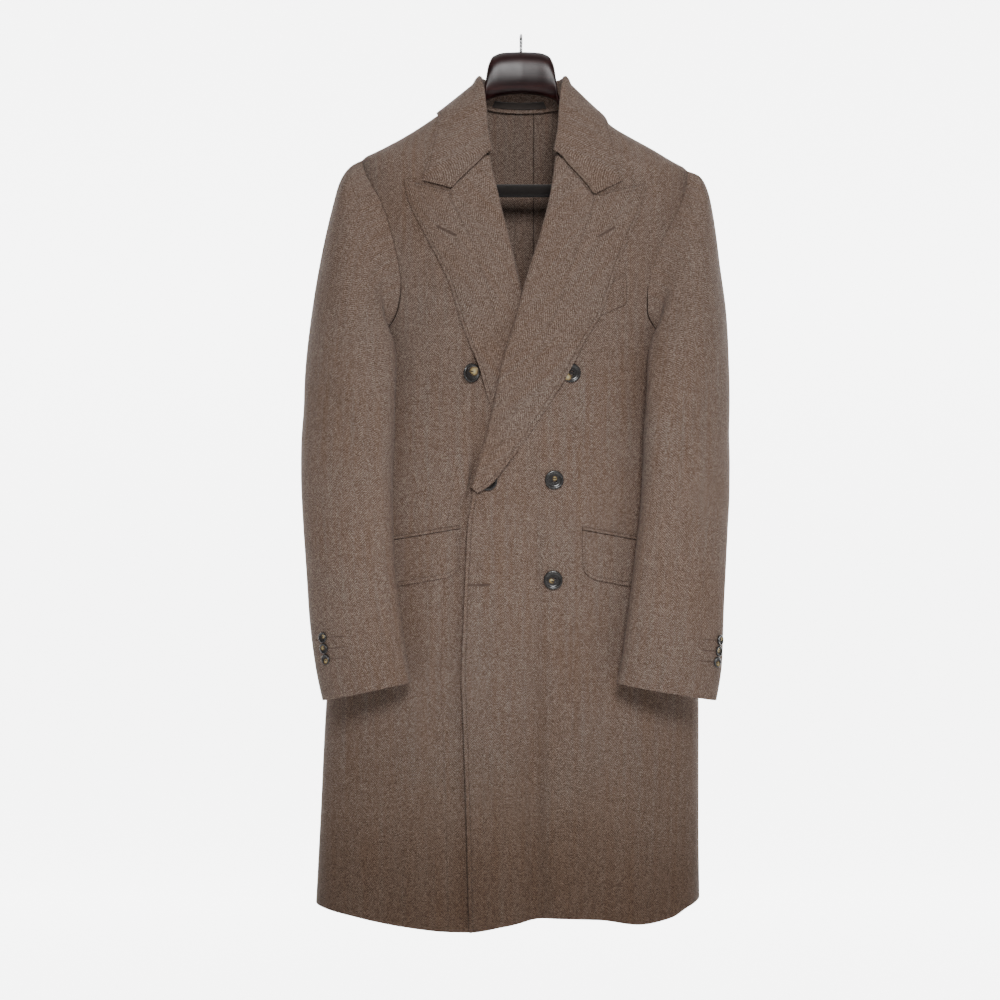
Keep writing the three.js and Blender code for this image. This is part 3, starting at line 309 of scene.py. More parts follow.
# Half a hanger: x, top, bottom, half depth and centre of each section.
HANGER = [
    (0, -19.6, -74.5, 12, 0), (22, -20.5, -76.5, 13, 0), (36, -25, -80, 14, 0),
    (43, -37, -83, 14, 0), (46, -54, -86, 14, 0), (48.5, -74, -91, 12, 0),
    (58, -86, -99, 11, 0), (74, -93, -110, 12, -1), (100, -107.2, -128, 12, -3),
    (140, -134.8, -157, 13, -6), (176, -155.6, -180, 14, -8), (185, -161.6, -185, 14, -9),
    (186, -162.6, -212, 14, -9), (197, -170.8, -212, 13, -9), (202, -179, -206, 9, -9),
]
BAR_HALF, BAR_Y, BAR_Z = 184.95, -9, -202
HOOK = [(0, 0, -19.5), (0, 0.4, -17.4), (0, 7.6, -14), (0, 10, -8), (0, 7.1, -0.9), (0, 0, 2),
        (0, -7.1, -0.9), (0, -10, -8), (0, -8.6, -12)]


# Shapes of the body and its layers
def unit(v):
    return v / np.maximum(np.linalg.norm(v, axis=-1, keepdims=True), 1e-9)


def fold_rise(x, z, folds, dents):
    total = np.zeros(np.broadcast(x, z).shape)
    for top, x0, x1, rise, spread in folds:
        grown = smooth(-z, -top, -HEM_Z + 60)
        total = total + rise * grown * bell(x - lerp(x0, x1, grown), spread)
    for (xa, za), (xb, zb), rise, spread in dents:
        run = np.array([xb - xa, zb - za], float)
        t = ((x - xa) * run[0] + (z - za) * run[1]) / (run @ run)
        side = np.abs((x - xa) * run[1] - (z - za) * run[0]) / np.linalg.norm(run)
        total = total + rise * bell(side, spread) * bell(2 * t - 1, 0.85)
    return total


def ring_point(angle, z):
    angle, z = np.broadcast_arrays(np.asarray(angle, float), np.asarray(z, float))
    front = np.abs(angle) <= PI / 2 + 1e-9
    power = np.where(front, 2 / FRONT_POWER, 2 / BACK_POWER)
    s, c = np.sin(angle), np.cos(angle)
    width = np.where(s < 0, BODY.at("right", z), BODY.at("left", z))
    depth = np.where(front, BODY.at("front", z), BODY.at("back", z))
    x = np.sign(s) * width * np.abs(s) ** power
    rise = np.where(front, -fold_rise(x, z, FOLDS, DENTS), fold_rise(x, z, BACK_FOLDS, BACK_DENTS))
    y = BODY.at("centre", z) - np.sign(c) * depth * np.abs(c) ** power + rise * np.abs(c)
    return np.stack([x, y, z], -1)


def ring_normal(angle, z):
    across = ring_point(angle + SMALL_TURN, z) - ring_point(angle - SMALL_TURN, z)
    up = ring_point(angle, z + SMALL_DROP) - ring_point(angle, z - SMALL_DROP)
    return unit(np.cross(across, up))


def on_ring(angle, z, lift=0.0):
    return ring_point(angle, z) + ring_normal(angle, z) * np.asarray(lift, float)[..., None]


def angle_at(x, z, back=False):
    x, z = np.broadcast_arrays(np.asarray(x, float), np.asarray(z, float))
    width = np.where(x < 0, BODY.at("right", z), BODY.at("left", z))
    power = np.where(back, BACK_POWER, FRONT_POWER) / 2
    angle = np.sign(x) * np.arcsin(np.minimum(1, np.abs(x) / width) ** power)
    return np.where(back, np.where(x < 0, -PI, PI) - angle, angle)


def on_front(x, z, lift=0.0):
    return on_ring(angle_at(x, z), z, lift)


def flat_lift(x, z):
    return 0 * x


def under_step(z):
    edge = OVER_EDGE.at("x", z)
    crease = smooth(-z, 370, 420) * (1 - smooth(-z, 585, 640))
    start = lerp(edge - 42, -70, crease)
    end = lerp(edge - 9, np.minimum(-52, edge - 6), crease)
    return start, end, lerp(UNDERLAP_DROP, 6.5, smooth(-z, 820, 940))


def under_lift(x, z):
    start, end, drop = under_step(z)
    return -drop * smooth(x, start, end)


def front_base(side):
    return under_lift if side == "right" else flat_lift


def hem_z(angle, z):
    drop = HEM.at("z", np.degrees(angle)) - HEM_Z
    return z + drop * smooth(-z, -HEM_EASE_Z, -HEM_Z)


def outside_body(point, gap):
    place = point.copy()
    for _ in range(4):
        x, y, z = place[..., 0], place[..., 1], place[..., 2]
        out = BODY.at("centre", z) - y
        half = np.where(out > 0, FRONT_POWER, BACK_POWER) / 2
        width = np.where(x < 0, BODY.at("right", z), BODY.at("left", z))
        depth = np.where(out > 0, BODY.at("front", z), BODY.at("back", z))
        angle = np.arctan2(np.sign(x) * (np.abs(x) / width) ** half,
                           np.sign(out) * (np.abs(out) / depth) ** half)
        normal = ring_normal(angle, z)
        short = gap - np.sum((place - ring_point(angle, z)) * normal, -1)
        place = place + normal * np.maximum(short, 0)[..., None]
    return place


def between(rows, index):
    """Rows in between the rows of a list, as smooth curves by row number."""
    data = np.array(rows, float)
    index = np.asarray(index, float)
    i = np.clip(np.floor(index).astype(int), 0, len(data) - 2)
    pick = lambda n: data[np.clip(n, 0, len(data) - 1)]
    t = (index - i)[..., None]
    ta, tb = (pick(i + 1) - pick(i - 1)) / 2, (pick(i + 2) - pick(i)) / 2
    return hermite(pick(i), pick(i + 1), ta, tb, t)


def grid_normals(grid):
    down = np.gradient(grid, axis=0)
    along = np.gradient(grid, axis=1)
    return unit(np.cross(down, along))


# Meshes from grids of points
def arc_lengths(grid, axis):
    steps = np.linalg.norm(np.diff(grid, axis=axis), axis=-1)
    pad = [(0, 0), (0, 0)]
    pad[axis] = (1, 0)
    return np.cumsum(np.pad(steps, pad), axis=axis)


def make_mesh(name, points, faces, uvs, material):
    """A mesh object at the origin from points in millimetres, with its maps in metres."""
    mesh = bpy.data.meshes.new(name)
    mesh.from_pydata((points * MM).tolist(), [], faces)
    corners = np.empty(len(mesh.loops), dtype=np.int32)
    mesh.loops.foreach_get("vertex_index", corners)
    for layer, values in uvs.items():
        made = mesh.uv_layers.new(name=layer)
        made.data.foreach_set("uv", (values[corners] * MM).astype(np.float32).ravel())
    mesh.polygons.foreach_set("use_smooth", np.ones(len(mesh.polygons), bool))
    mesh.materials.append(material)
    mesh.validate()
    mesh.update()
    return link(bpy.data.objects.new(name, mesh))


def link(thing):
    bpy.context.scene.collection.objects.link(thing)
    return thing


def cloth_shell(name, outer, inner, weave, stitch, material, rounding=(0.5, 0.5, 0.5, 0.5)):
    """A cloth of two grids. rounding: of the first row, last row, first and last column."""
    n, m = outer.shape[:2]
    out = np.zeros((n, m, 3))
    for i, k, r in ((0, 1, rounding[0]), (n - 1, n - 2, rounding[1])):
        out[i] += unit(outer[i] - outer[k]) * r
    for j, k, r in ((0, 1, rounding[2]), (m - 1, m - 2, rounding[3])):
        out[:, j] += unit(outer[:, j] - outer[:, k]) * r
    outer, inner = outer - out, inner - out
    points = [outer.reshape(-1, 3), inner.reshape(-1, 3)]
    border = [(0, j) for j in range(m)] + [(i, m - 1) for i in range(1, n)]
    border += [(n - 1, j) for j in range(m - 2, -1, -1)] + [(i, 0) for i in range(n - 2, 0, -1)]
    bi, bj = np.array(border).T
    middle = (outer[bi, bj] + inner[bi, bj]) / 2
    half = (outer[bi, bj] - inner[bi, bj]) / 2
    turns = np.radians((50, 90, 130))
    points += [middle + half * math.cos(t) + out[bi, bj] * math.sin(t) for t in turns]
    flat = bi * m + bj
    count, length = n * m, len(border)
    rings = [2 * count + r * length + np.arange(length) for r in range(len(turns))]
    loops = [flat, *rings, count + flat]
    a = (np.arange(n - 1)[:, None] * m + np.arange(m - 1)[None, :]).ravel()
    top = np.stack([a, a + m, a + m + 1, a + 1], 1)
    faces = [top, top[:, ::-1] + count]
    for first, second in zip(loops, loops[1:]):
        f2, s2 = np.roll(first, -1), np.roll(second, -1)
        faces.append(np.stack([first, f2, s2, second], 1))
    faces = np.concatenate(faces)
    points = np.concatenate(points)
    if volume(points, faces) < 0:
        faces = faces[:, ::-1]
    uvs = {layer: np.concatenate([values.reshape(-1, 2)] * 2 + [values[bi, bj]] * len(turns))
           for layer, values in (("weave", weave), ("stitch", stitch))}
    return make_mesh(name, points, faces.tolist(), uvs, material)


def volume(points, faces):
    a, b, c, d = (points[faces[:, k]] for k in range(4))
    return np.sum(a * (np.cross(b, c) + np.cross(c, d))) / 6


def far_stitch(n, m):
    """A stitch map with no stitch line anywhere near."""
    return np.full((n, m, 2), FAR)


def finish_cloth(piece, node, outer):
    """Attaches a piece of cloth to the root body and hides its part; its flat size is measured on its outer
    grid, but not kept.
    """
    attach(piece, "root")
    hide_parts(node)
    (width, length), area = sheet_size(outer)


def sheet_size(outer):
    """Flat width, length and area of a grid of cloth, in metres."""
    a = outer[1:, 1:] - outer[:-1, :-1]
    b = outer[1:, :-1] - outer[:-1, 1:]
    area = np.sum(np.linalg.norm(np.cross(a, b), axis=-1)) / 2 * MM * MM
    width = float(arc_lengths(outer, 1)[:, -1].max()) * MM
    length = float(arc_lengths(outer, 0)[-1].max()) * MM
    return (width, length), float(min(area, width * length))


# Panels
def side_angle(armhole, sign, z, back):
    top, bottom = armhole.key[-1], armhole.key[0]
    x = np.where(back, armhole.at("back", z), armhole.at("front", z))
    ridge = sign * PI / 2
    return np.where((z >= top) | (z <= bottom), ridge, angle_at(sign * x, z, back))


def panel_heights(armhole):
    top, bottom = armhole.key[-1], armhole.key[0]
    neck = lerp(NECK_Z, top, np.linspace(0, 1, 22)[:-1] ** 1.2)
    turns = np.linspace(0, PI, 61)
    arm = lerp(top, bottom, (1 - np.cos(turns)) / 2)
    skirt = np.linspace(bottom, HEM_Z, int((bottom - HEM_Z) / PANEL_STEP) + 1)[1:]
    return np.concatenate([neck, arm, skirt])


def follow(inner, outer, ridge, steps):
    t = np.linspace(0, 1, steps + 1)
    return lerp(inner[:, None], ridge, t) + (outer - ridge)[:, None] * t * t


def seam_angle(z, back):
    power = (BACK_POWER if back else FRONT_POWER) / 2
    return (SEAM_GAP / 2 / BODY.at("back" if back else "front", z)) ** power


def panel_grids(heights, angles, lift):
    z = heights[:, None] + 0 * angles
    height = hem_z(angles, z)
    x = ring_point(angles, height)[..., 0]
    raised = lift(x, z)
    outer = on_ring(angles, height, raised)
    inner = on_ring(angles, height, raised - CLOTH)
    return outer, inner


def ring_weave(outer, start):
    """Weave map whose wales run straight down, from the length along each row."""
    along = arc_lengths(outer, 1) + start[:, None]
    return np.stack([along, outer[..., 2]], -1)


def rolled_edge(x, z):
    """The straight front edge below the break stands up a little and has a stitched hollow."""
    away = x - OVER_EDGE.at("x", z)
    below = smooth(-z, 596, 622)
    return below * (1.7 * (1 - smooth(away, 0.5, 4.6)) - 0.5 * bell(away - 5.6, 2.2))


def over_angles(heights, outer_angle, steps=76, fine=4):
    """Turns of the left front's columns, closer together along its edge."""
    inner_angle = np.minimum(angle_at(OVER_EDGE.at("x", heights), heights), outer_angle - 0.02)
    angles = follow(inner_angle, outer_angle, PI / 2, steps)
    first = inner_angle[:, None]
    near = first + (angles[:, fine:fine + 1] - first) * np.linspace(0, 1, 19)[None, :-1]
    return np.concatenate([near, angles[:, fine:]], 1)


def under_angles(heights, outer_angle):
    """Turns of the right front's columns: under the left one, over the step, and out to the side."""
    width = BODY.at("right", heights)
    edge = np.maximum(UNDER_EDGE.at("x", heights), -width)
    start, end, _ = under_step(heights)
    room = np.minimum(1, (edge + width * np.abs(np.sin(outer_angle))) / 150)
    low = np.minimum(end, edge - 8 * room)
    high = np.minimum(start, low - 24 * room)

    def columns(a, b, count=22):
        return angle_at(lerp(a[:, None], b[:, None], np.linspace(0, 1, count)), heights[:, None])

    covered, step = columns(edge, low), columns(low, high)
    first = np.maximum(step[:, -1], outer_angle + 0.004)
    open_part = first[:, None] + (outer_angle - first)[:, None] * np.linspace(0, 1, 44)
    return np.concatenate([covered[:, :-1], step[:, :-1], open_part], 1)


def front_panel(side, material):
    sign, armhole, _ = SIDES[side]
    heights = panel_heights(armhole)
    outer_angle = side_angle(armhole, sign, heights, False) - sign * seam_angle(heights, False)
    spread, lift = (over_angles, rolled_edge) if side == "left" else (under_angles, under_lift)
    outer, inner = panel_grids(heights, spread(heights, outer_angle), lift)
    weave = sign * ring_weave(outer, sign * outer[:, 0, 0])
    weave[..., 1] = outer[..., 2]
    stitch = far_stitch(*outer.shape[:2])
    if side == "left":
        stitch[..., 0] = arc_lengths(outer, 1)
        stitch[..., 1] = outer[..., 2]
        stitch[heights > -598] = FAR
    else:
        # Painted shadow: a dark line on the right front where the left front's edge lies over it, drawn
        # through the stitch map.
        stitch[..., 0] = SHADE_LINE_MARK + np.abs(outer[..., 0] - OVER_EDGE.at("x", outer[..., 2]) + 1.4)
        stitch[heights > -545] = FAR
    piece = cloth_shell(f"cloth_front_{side}", outer, inner, weave, stitch, material,
                        (0.5, 1.1, 1.1, 0.4))
    finish_cloth(piece, f"front_{side}", outer)


def back_seam(z):
    """How far the centre back seam stands from the middle."""
    return lerp(17, 2, smooth(-z, 260, 760))


def vent_lift(x, z):
    """The right back goes in under the left one along the vent."""
    sunk = smooth(-z, -VENT_TOP_Z - 80, -VENT_TOP_Z - 10)
    return -(CLOTH + 2 * LAYER_GAP) * sunk * smooth(x - back_seam(z), -60, -2)


def back_panel(side, material):
    sign, armhole, _ = SIDES[side]
    heights = panel_heights(armhole)
    neck = lerp(NECK_Z, BACK_NECK_Z, np.linspace(0, 1, 16) ** 0.6)
    heights = np.concatenate([neck[:-1], [BACK_NECK_Z + 0.02, BACK_NECK_Z - 0.02],
                              heights[heights < BACK_NECK_Z - 2]])
    outer_angle = side_angle(armhole, sign, heights, True) + sign * seam_angle(heights, True)
    run = np.sqrt(np.clip((heights - BACK_NECK_Z) / (NECK_Z - BACK_NECK_Z), 0, 1))
    lap = VENT_LAP * smooth(-heights, -VENT_TOP_Z, -VENT_TOP_Z + 40) if sign < 0 else 0
    x = np.where(heights > BACK_NECK_Z, sign * lerp(0.5, 71.9, run),
                 back_seam(heights) + lap - sign * 0.15)
    inner_angle = angle_at(x, heights, True)
    if sign < 0:
        inner_angle = np.where(inner_angle > 0, inner_angle - 2 * PI, inner_angle)
    angles = follow(inner_angle, outer_angle, sign * PI / 2, 70)
    outer, inner = panel_grids(heights, angles, vent_lift if side == "right" else flat_lift)
    weave = ring_weave(outer, outer[:, 0, 0] * sign)
    stitch = far_stitch(*outer.shape[:2])
    # Painted shade: a dark line along the centre back seam, drawn through the stitch map.
    stitch[..., 0] = SHADE_LINE_MARK + arc_lengths(outer, 1)
    stitch[heights > BACK_NECK_Z] = FAR
    piece = cloth_shell(f"cloth_back_{side}", outer, inner, weave, stitch, material,
                        (0.5, 1.1, 0.4, 0.4))
    finish_cloth(piece, f"back_{side}", outer)


# Lapels
def lapel_gap(x, z, fraction, under):
    edge = OVER_EDGE.at("x", z)
    covered = smooth(x - edge, -60, -25) if under else 0
    puff = LAPEL_PUFF * np.sin(PI * np.minimum(1, fraction)) * (1 - covered)
    raised = 0.8 * bell(z - BEND_Z, 16)
    if not under:
        for sx, sz, rise, spread in LAPEL_LIFTS:
            raised = np.maximum(raised, rise * bell(np.hypot(x - sx, z - sz), spread))
    return LAYER_GAP + (0.12 if under else 0.25) + np.maximum(puff, raised)


def lapel_grids(side, rows=110, columns=40):
    under = side == "right"
    table = UNDER_LAPEL if under else OVER_LAPEL
    notch = UNDER_NOTCH if under else OVER_NOTCH
    base = front_base(side)
    index = np.linspace(0, len(table) - 1, rows)
    row = between(table, index)
    roll, edge = row[:, :2], row[:, 2:]
    width = np.linalg.norm(edge - roll, axis=1)
    across = (edge - roll) / width[:, None]
    first = np.array(table[0], float)
    bend = np.array(notch) - lerp(first[:2], first[2:], NOTCH_COLUMN)
    ease = np.maximum(0, 1 - index / NOTCH_ROWS)
    below = lambda x, z: base(x + LAPEL_SLACK, z)
    above = lambda x, z: base(x - LAPEL_SLACK, z)
    middle = LAPEL_MIDDLE
    outer, inner = [], []

    def put(xz, lifts):
        for grid, lift in zip((outer, inner), lifts):
            grid.append(on_front(xz[:, 0], xz[:, 1], lift))

    leg = np.minimum(FACING_LEG, width * 0.5)
    for t in (1, 0.5):
        xz = roll + across * (FOLD_RADIUS + leg * t)[:, None]
        rest = below(xz[:, 0], xz[:, 1]) + middle - FOLD_RADIUS
        put(xz, (rest, rest + CLOTH))
    for degrees in FOLD_TURNS:
        turn = math.radians(degrees)
        for grid, radius in ((outer, FOLD_RADIUS), (inner, FOLD_RADIUS - CLOTH)):
            xz = roll + across * (FOLD_RADIUS - radius * math.sin(turn))
            rest = lerp(below(xz[:, 0], xz[:, 1]), above(xz[:, 0], xz[:, 1]), (1 + math.cos(turn)) / 2)
            grid.append(on_front(xz[:, 0], xz[:, 1], rest + middle + radius * math.cos(turn)))
    fractions = np.linspace(0, 1, columns + 1)[1:]
    fractions = np.sort(np.append(fractions, NOTCH_COLUMN))
    for fraction in fractions:
        bent = ease * min(fraction / NOTCH_COLUMN, (1 - fraction) / (1 - NOTCH_COLUMN))
        xz = roll + across * lerp(FOLD_RADIUS, width, fraction)[:, None] + bend * bent[:, None]
        rest = above(xz[:, 0], xz[:, 1]) + lapel_gap(xz[:, 0], xz[:, 1], fraction, under)
        put(xz, (rest + CLOTH, rest))
    return np.stack(outer, 1), np.stack(inner, 1)


def lapel(side, material):
    outer, inner = lapel_grids(side)
    to_edge = arc_lengths(outer, 1)
    to_edge = to_edge[:, -1:] - to_edge
    down = arc_lengths(outer, 0)[:, -1:]
    top = np.linalg.norm(outer - outer[:1], axis=-1)
    notch = to_edge[:1] / to_edge[:1, 11:12] - (1 - NOTCH_COLUMN)
    top = top + 400 * np.maximum(0, notch)
    weave = np.stack([-to_edge + 0.28 * down, down + 0 * to_edge], -1)
    stitch = np.stack([np.minimum(to_edge, top), down + 0 * to_edge], -1)
    piece = cloth_shell(f"cloth_lapel_{side}", outer, inner, weave, stitch, material,
                        (1.0, 0.5, 0.5, 1.1))
    finish_cloth(piece, f"lapel_{side}", outer)
    return outer


# Collar
def smooth_path(path, samples=8):
    """Smooth curves through each row of points, by the length between them."""
    steps = np.linalg.norm(np.diff(path, axis=1), axis=-1)[..., None]
    slope = np.diff(path, axis=1) / steps
    middle = (slope[:, :-1] * steps[:, 1:] + slope[:, 1:] * steps[:, :-1]) / (steps[:, 1:] + steps[:, :-1])
    tangent = np.concatenate([slope[:, :1], middle, slope[:, -1:]], 1)
    parts = []
    for t in np.linspace(0, 1, samples, endpoint=False):
        parts.append(hermite(path[:, :-1], path[:, 1:], tangent[:, :-1] * steps, tangent[:, 1:] * steps, t))
    fine = np.stack(parts, 2).reshape(len(path), -1, 3)
    return np.concatenate([fine, path[:, -1:]], 1)


def resample(path, count):
    """Evenly spread points on smooth curves through each row of path points."""
    n = len(path)
    fine = smooth_path(path)
    length = arc_lengths(fine, 1)
    out = np.empty((n, count, 3))
    for i in range(n):
        at = np.linspace(0, length[i, -1], count)
        for axis in range(3):
            out[i, :, axis] = np.interp(at, length[i], fine[i, :, axis])
    return out


def collar_knots(sign):
    knots = []
    for i, (sx, sz, fx, fy, fz, lx, lz) in enumerate(COLLAR):
        places = []
        for x, z, lift in ((lx, lz, CLOTH + COLLAR_LIE), (sx, sz, COLLAR_SEAM_LIFT)):
            px = COLLAR_MIDDLE + sign * x
            angle = sign * PI / 2 if i == COLLAR_RIDGE else angle_at(px, z, i > COLLAR_RIDGE)
            places.append(on_ring(angle, z, lift))
        knots.append(np.concatenate([[COLLAR_MIDDLE + sign * fx, fy, fz], *places]))
    return knots


def collar_half(sign, stations):
    index = np.linspace(0, len(COLLAR) - 1, stations)
    row = between(collar_knots(sign), index)
    fold, bare, seam = row[:, 0:3], row[:, 3:6], row[:, 6:9]
    leaf = outside_body(bare, CLOTH + COLLAR_LIE)
    out, inward = unit(leaf - fold), unit(seam - fold)
    up, side = unit(-(out + inward)), unit(out - inward)
    deepest = COLLAR_NOTCH_Z[sign] - lerp(fold[0, 2], leaf[0, 2], COLLAR_NOTCH)
    ease = np.maximum(0, 1 - index / 0.5)
    path = [leaf]
    for t in (0.94, 0.87, 0.78, 0.7, 0.62, COLLAR_NOTCH, 0.45, 0.36, 0.27, 0.18):
        point = lerp(fold, leaf, t)
        point[:, 2] += deepest * ease * min((1 - t) / (1 - COLLAR_NOTCH), t / COLLAR_NOTCH)
        path.append(outside_body(point, CLOTH + COLLAR_LIE + 4.5 * t * (1 - t)))
    for a, b in ((1, -0.4), (0.55, 0.75), (-0.55, 0.75), (-1, -0.4)):
        path.append(fold + side * a * COLLAR_FOLD + up * b * COLLAR_FOLD)
    path += [lerp(fold, seam, 0.55) - side * COLLAR_FOLD * 0.4, seam]
    return np.stack(path, 1)


def collar_grid(stations=110, count=64):
    left, right = collar_half(1, stations), collar_half(-1, stations)
    return resample(np.concatenate([left, right[::-1][1:]]), count)


def collar(material):
    outer = collar_grid()
    inner = outer - grid_normals(outer) * CLOTH
    leaf = arc_lengths(outer, 1)
    along = np.repeat(arc_lengths(outer, 0)[:, :1], outer.shape[1], 1)
    ends = np.minimum(np.linalg.norm(outer - outer[:1], axis=-1),
                      np.linalg.norm(outer - outer[-1:], axis=-1))
    weave = np.stack([along, leaf], -1)
    stitch = np.stack([np.minimum(leaf, ends), along], -1)
    piece = cloth_shell("cloth_collar", outer, inner, weave, stitch, material, (1.0, 1.0, 1.1, 0.4))
    finish_cloth(piece, "collar", outer)
    return outer


# Sleeves
# Soft dents of the sleeves: turn in degrees, row, half turn, half rows, rise, slant.
SLEEVE_DENTS = {
    "right": [(60, 1.6, 26, 0.9, -1.6, 8), (95, 3.4, 22, 1.2, -2.6, 14), (120, 5.0, 18, 0.9, -2.4, -18),
              (60, 5.6, 34, 0.7, 1.8, 16), (88, 6.6, 30, 0.5, -2.4, 16), (40, 7.4, 30, 0.5, 1.5, -10),
              (110, 8.2, 26, 0.6, -1.8, 12), (70, 9.3, 30, 0.6, 1.6, 10), (20, 4.2, 26, 1.2, -1.5, 8),
              (140, 9.8, 22, 0.7, -1.6, 6), (0, 6.6, 24, 0.6, -1.6, 10), (-60, 4.5, 30, 1.0, -2.0, 8),
              (230, 6.4, 40, 0.7, -2.2, 10), (250, 8.5, 40, 0.8, 1.8, 6), (-30, 9.0, 26, 0.7, -1.6, 8)],
    "left": [(62, 1.8, 26, 0.9, -1.5, 8), (92, 3.2, 22, 1.2, -2.6, 12), (118, 4.8, 18, 0.9, -2.2, -16),
             (66, 5.9, 34, 0.7, 1.8, 14), (84, 7.0, 30, 0.5, -2.2, 16), (36, 7.7, 30, 0.5, 1.4, -10),
             (112, 8.6, 26, 0.6, -1.7, 12), (74, 9.6, 30, 0.6, 1.5, 10), (16, 4.6, 26, 1.2, -1.6, 8),
             (142, 10.1, 22, 0.7, -1.4, 6), (4, 7.0, 24, 0.6, -1.5, 10), (-58, 4.9, 30, 1.0, -1.9, 8),
             (232, 6.0, 40, 0.7, -2.0, 10), (252, 8.9, 40, 0.8, 1.7, 6), (-28, 9.4, 26, 0.7, -1.5, 8)],
}


def sleeve_ellipse(row, turn, sign):
    outer = np.stack([sign * row[..., 1], row[..., 2], row[..., 0]], -1)
    inner = np.stack([sign * row[..., 4], row[..., 5], row[..., 3]], -1)
    s, c = np.sin(turn), np.cos(turn)
    bulge = row[..., 7] * np.maximum(0, s) * np.maximum(0, -c) ** 1.5
    shift = np.stack([-sign * bulge, -row[..., 6] * s, 0 * s], -1)
    return (outer + inner) / 2 + (outer - inner) / 2 * c[..., None] + shift


def armhole_frame(side, turn):
    sign, armhole, _ = SIDES[side]
    z = lerp(armhole.key[-1], armhole.key[0], (1 - np.cos(turn)) / 2)
    angle = side_angle(armhole, sign, z, np.sin(turn) < 0)
    return on_ring(angle, z), ring_normal(angle, z)


def sleeve_point(side, turn, v):
    sign, _, rows = SIDES[side]
    turn, v = np.broadcast_arrays(np.asarray(turn, float), np.asarray(v, float))
    row = between(rows, v)
    first = between(rows, 0 * v)
    hold = np.maximum(0, 1 - v / SLEEVE_RELEASE) ** 2
    gap = armhole_frame(side, turn)[0] - sleeve_ellipse(first, turn, sign)
    point = sleeve_ellipse(row, turn, sign) + gap * hold[..., None]
    pushed = outside_body(point, row[..., 8])
    return np.where((v > 0.01)[..., None], pushed, point)


def sleeve_normal(side, turns, levels):
    around = sleeve_point(side, turns + 0.1, levels) - sleeve_point(side, turns - 0.1, levels)
    a, b = np.maximum(0.02, levels - 0.12), np.minimum(12, levels + 0.12)
    along = sleeve_point(side, turns, b) - sleeve_point(side, turns, a)
    return unit(np.cross(around, along) * SIDES[side][0])


def sleeve_surface(side, turns, levels):
    """Points and normals of a sleeve, with its soft dents."""
    point = sleeve_point(side, turns, levels)
    normal = sleeve_normal(side, turns, levels)
    degrees = np.degrees(turns)
    dent = np.zeros(turns.shape)
    for t0, v0, dt, dv, rise, slant in SLEEVE_DENTS[side]:
        away = (degrees - t0 + 180) % 360 - 180
        across = (levels - v0) - away * slant / 900
        dent += rise * bell(away, dt) * bell(across, dv * 0.6)
    fade = smooth(levels, 0.2, 1.2) * (1 - 0.8 * smooth(levels, 11.2, 12))
    return point + normal * (dent * fade)[..., None], normal


def sleeve_head(side, turns):
    sign, _, rows = SIDES[side]
    point, normal = armhole_frame(side, turns)
    first = between(rows, 0 * turns)
    ends = [sleeve_ellipse(first, turns * 0 + turn, sign) for turn in (PI / 2, -PI / 2)]
    away = (ends[0] + ends[1]) / 2 - point
    away = unit(away - normal * np.sum(away * normal, -1, keepdims=True))
    low = smooth(-np.cos(turns), 0.2, 0.75)
    return point + away * 0.1 + normal * (3 * low)[..., None], normal, low


def sleeve_piece(side, part, material):
    levels = np.concatenate([np.linspace(0, 1, 16)[:-1] ** 1.3, np.linspace(1, 12, 118)])
    rear, front = SLEEVE_SEAMS.at("rear", levels), SLEEVE_SEAMS.at("front", levels)
    columns = 76 if part == "top" else 52
    ends = (rear + 0.03, front - 0.03) if part == "top" else (front + 0.03, rear + 360 - 0.03)
    turns = np.radians(lerp(ends[0][:, None], ends[1][:, None], np.linspace(0, 1, columns)))
    grid = levels[:, None] + 0 * turns
    outer, normal = sleeve_surface(side, turns, grid)
    head, square, low = sleeve_head(side, turns[0])
    outer[0] = head
    normal[0] = unit(lerp(square, normal[1], low[:, None]))
    inner = outer - normal * CLOTH
    along = arc_lengths(outer, 1)
    down = arc_lengths(outer, 0)
    centre = columns // 2
    weave = np.stack([along - along[:, -1:] / 2, down[:, centre:centre + 1] + 0 * down], -1)
    stitch = far_stitch(*outer.shape[:2])
    piece = cloth_shell(f"cloth_{part}_sleeve_{side}", outer, inner, weave, stitch, material,
                        (0.4, 1.1, 0.4, 0.4))
    finish_cloth(piece, f"{part}_sleeve_{side}", outer)


# Shader tools
class Wire:
    """A socket that takes part in sums, so that shader maths reads as an expression."""

    def __init__(self, tree, socket):
        self.tree, self.socket = tree, socket

    def maths(self, operation, *values, flip=False):
        order = (*values[::-1], self) if flip else (self, *values)
        return self.tree.node("ShaderNodeMath", {"operation": operation}, list(order))

    def __add__(self, other):
        return self.maths("ADD", other)

    def __sub__(self, other):
        return self.maths("SUBTRACT", other)

    def __mul__(self, other):
        return self.maths("MULTIPLY", other)

    def __truediv__(self, other):
        return self.maths("DIVIDE", other)

    def __radd__(self, other):
        return self.maths("ADD", other, flip=True)

    def __rsub__(self, other):
        return self.maths("SUBTRACT", other, flip=True)

    def __rmul__(self, other):
        return self.maths("MULTIPLY", other, flip=True)


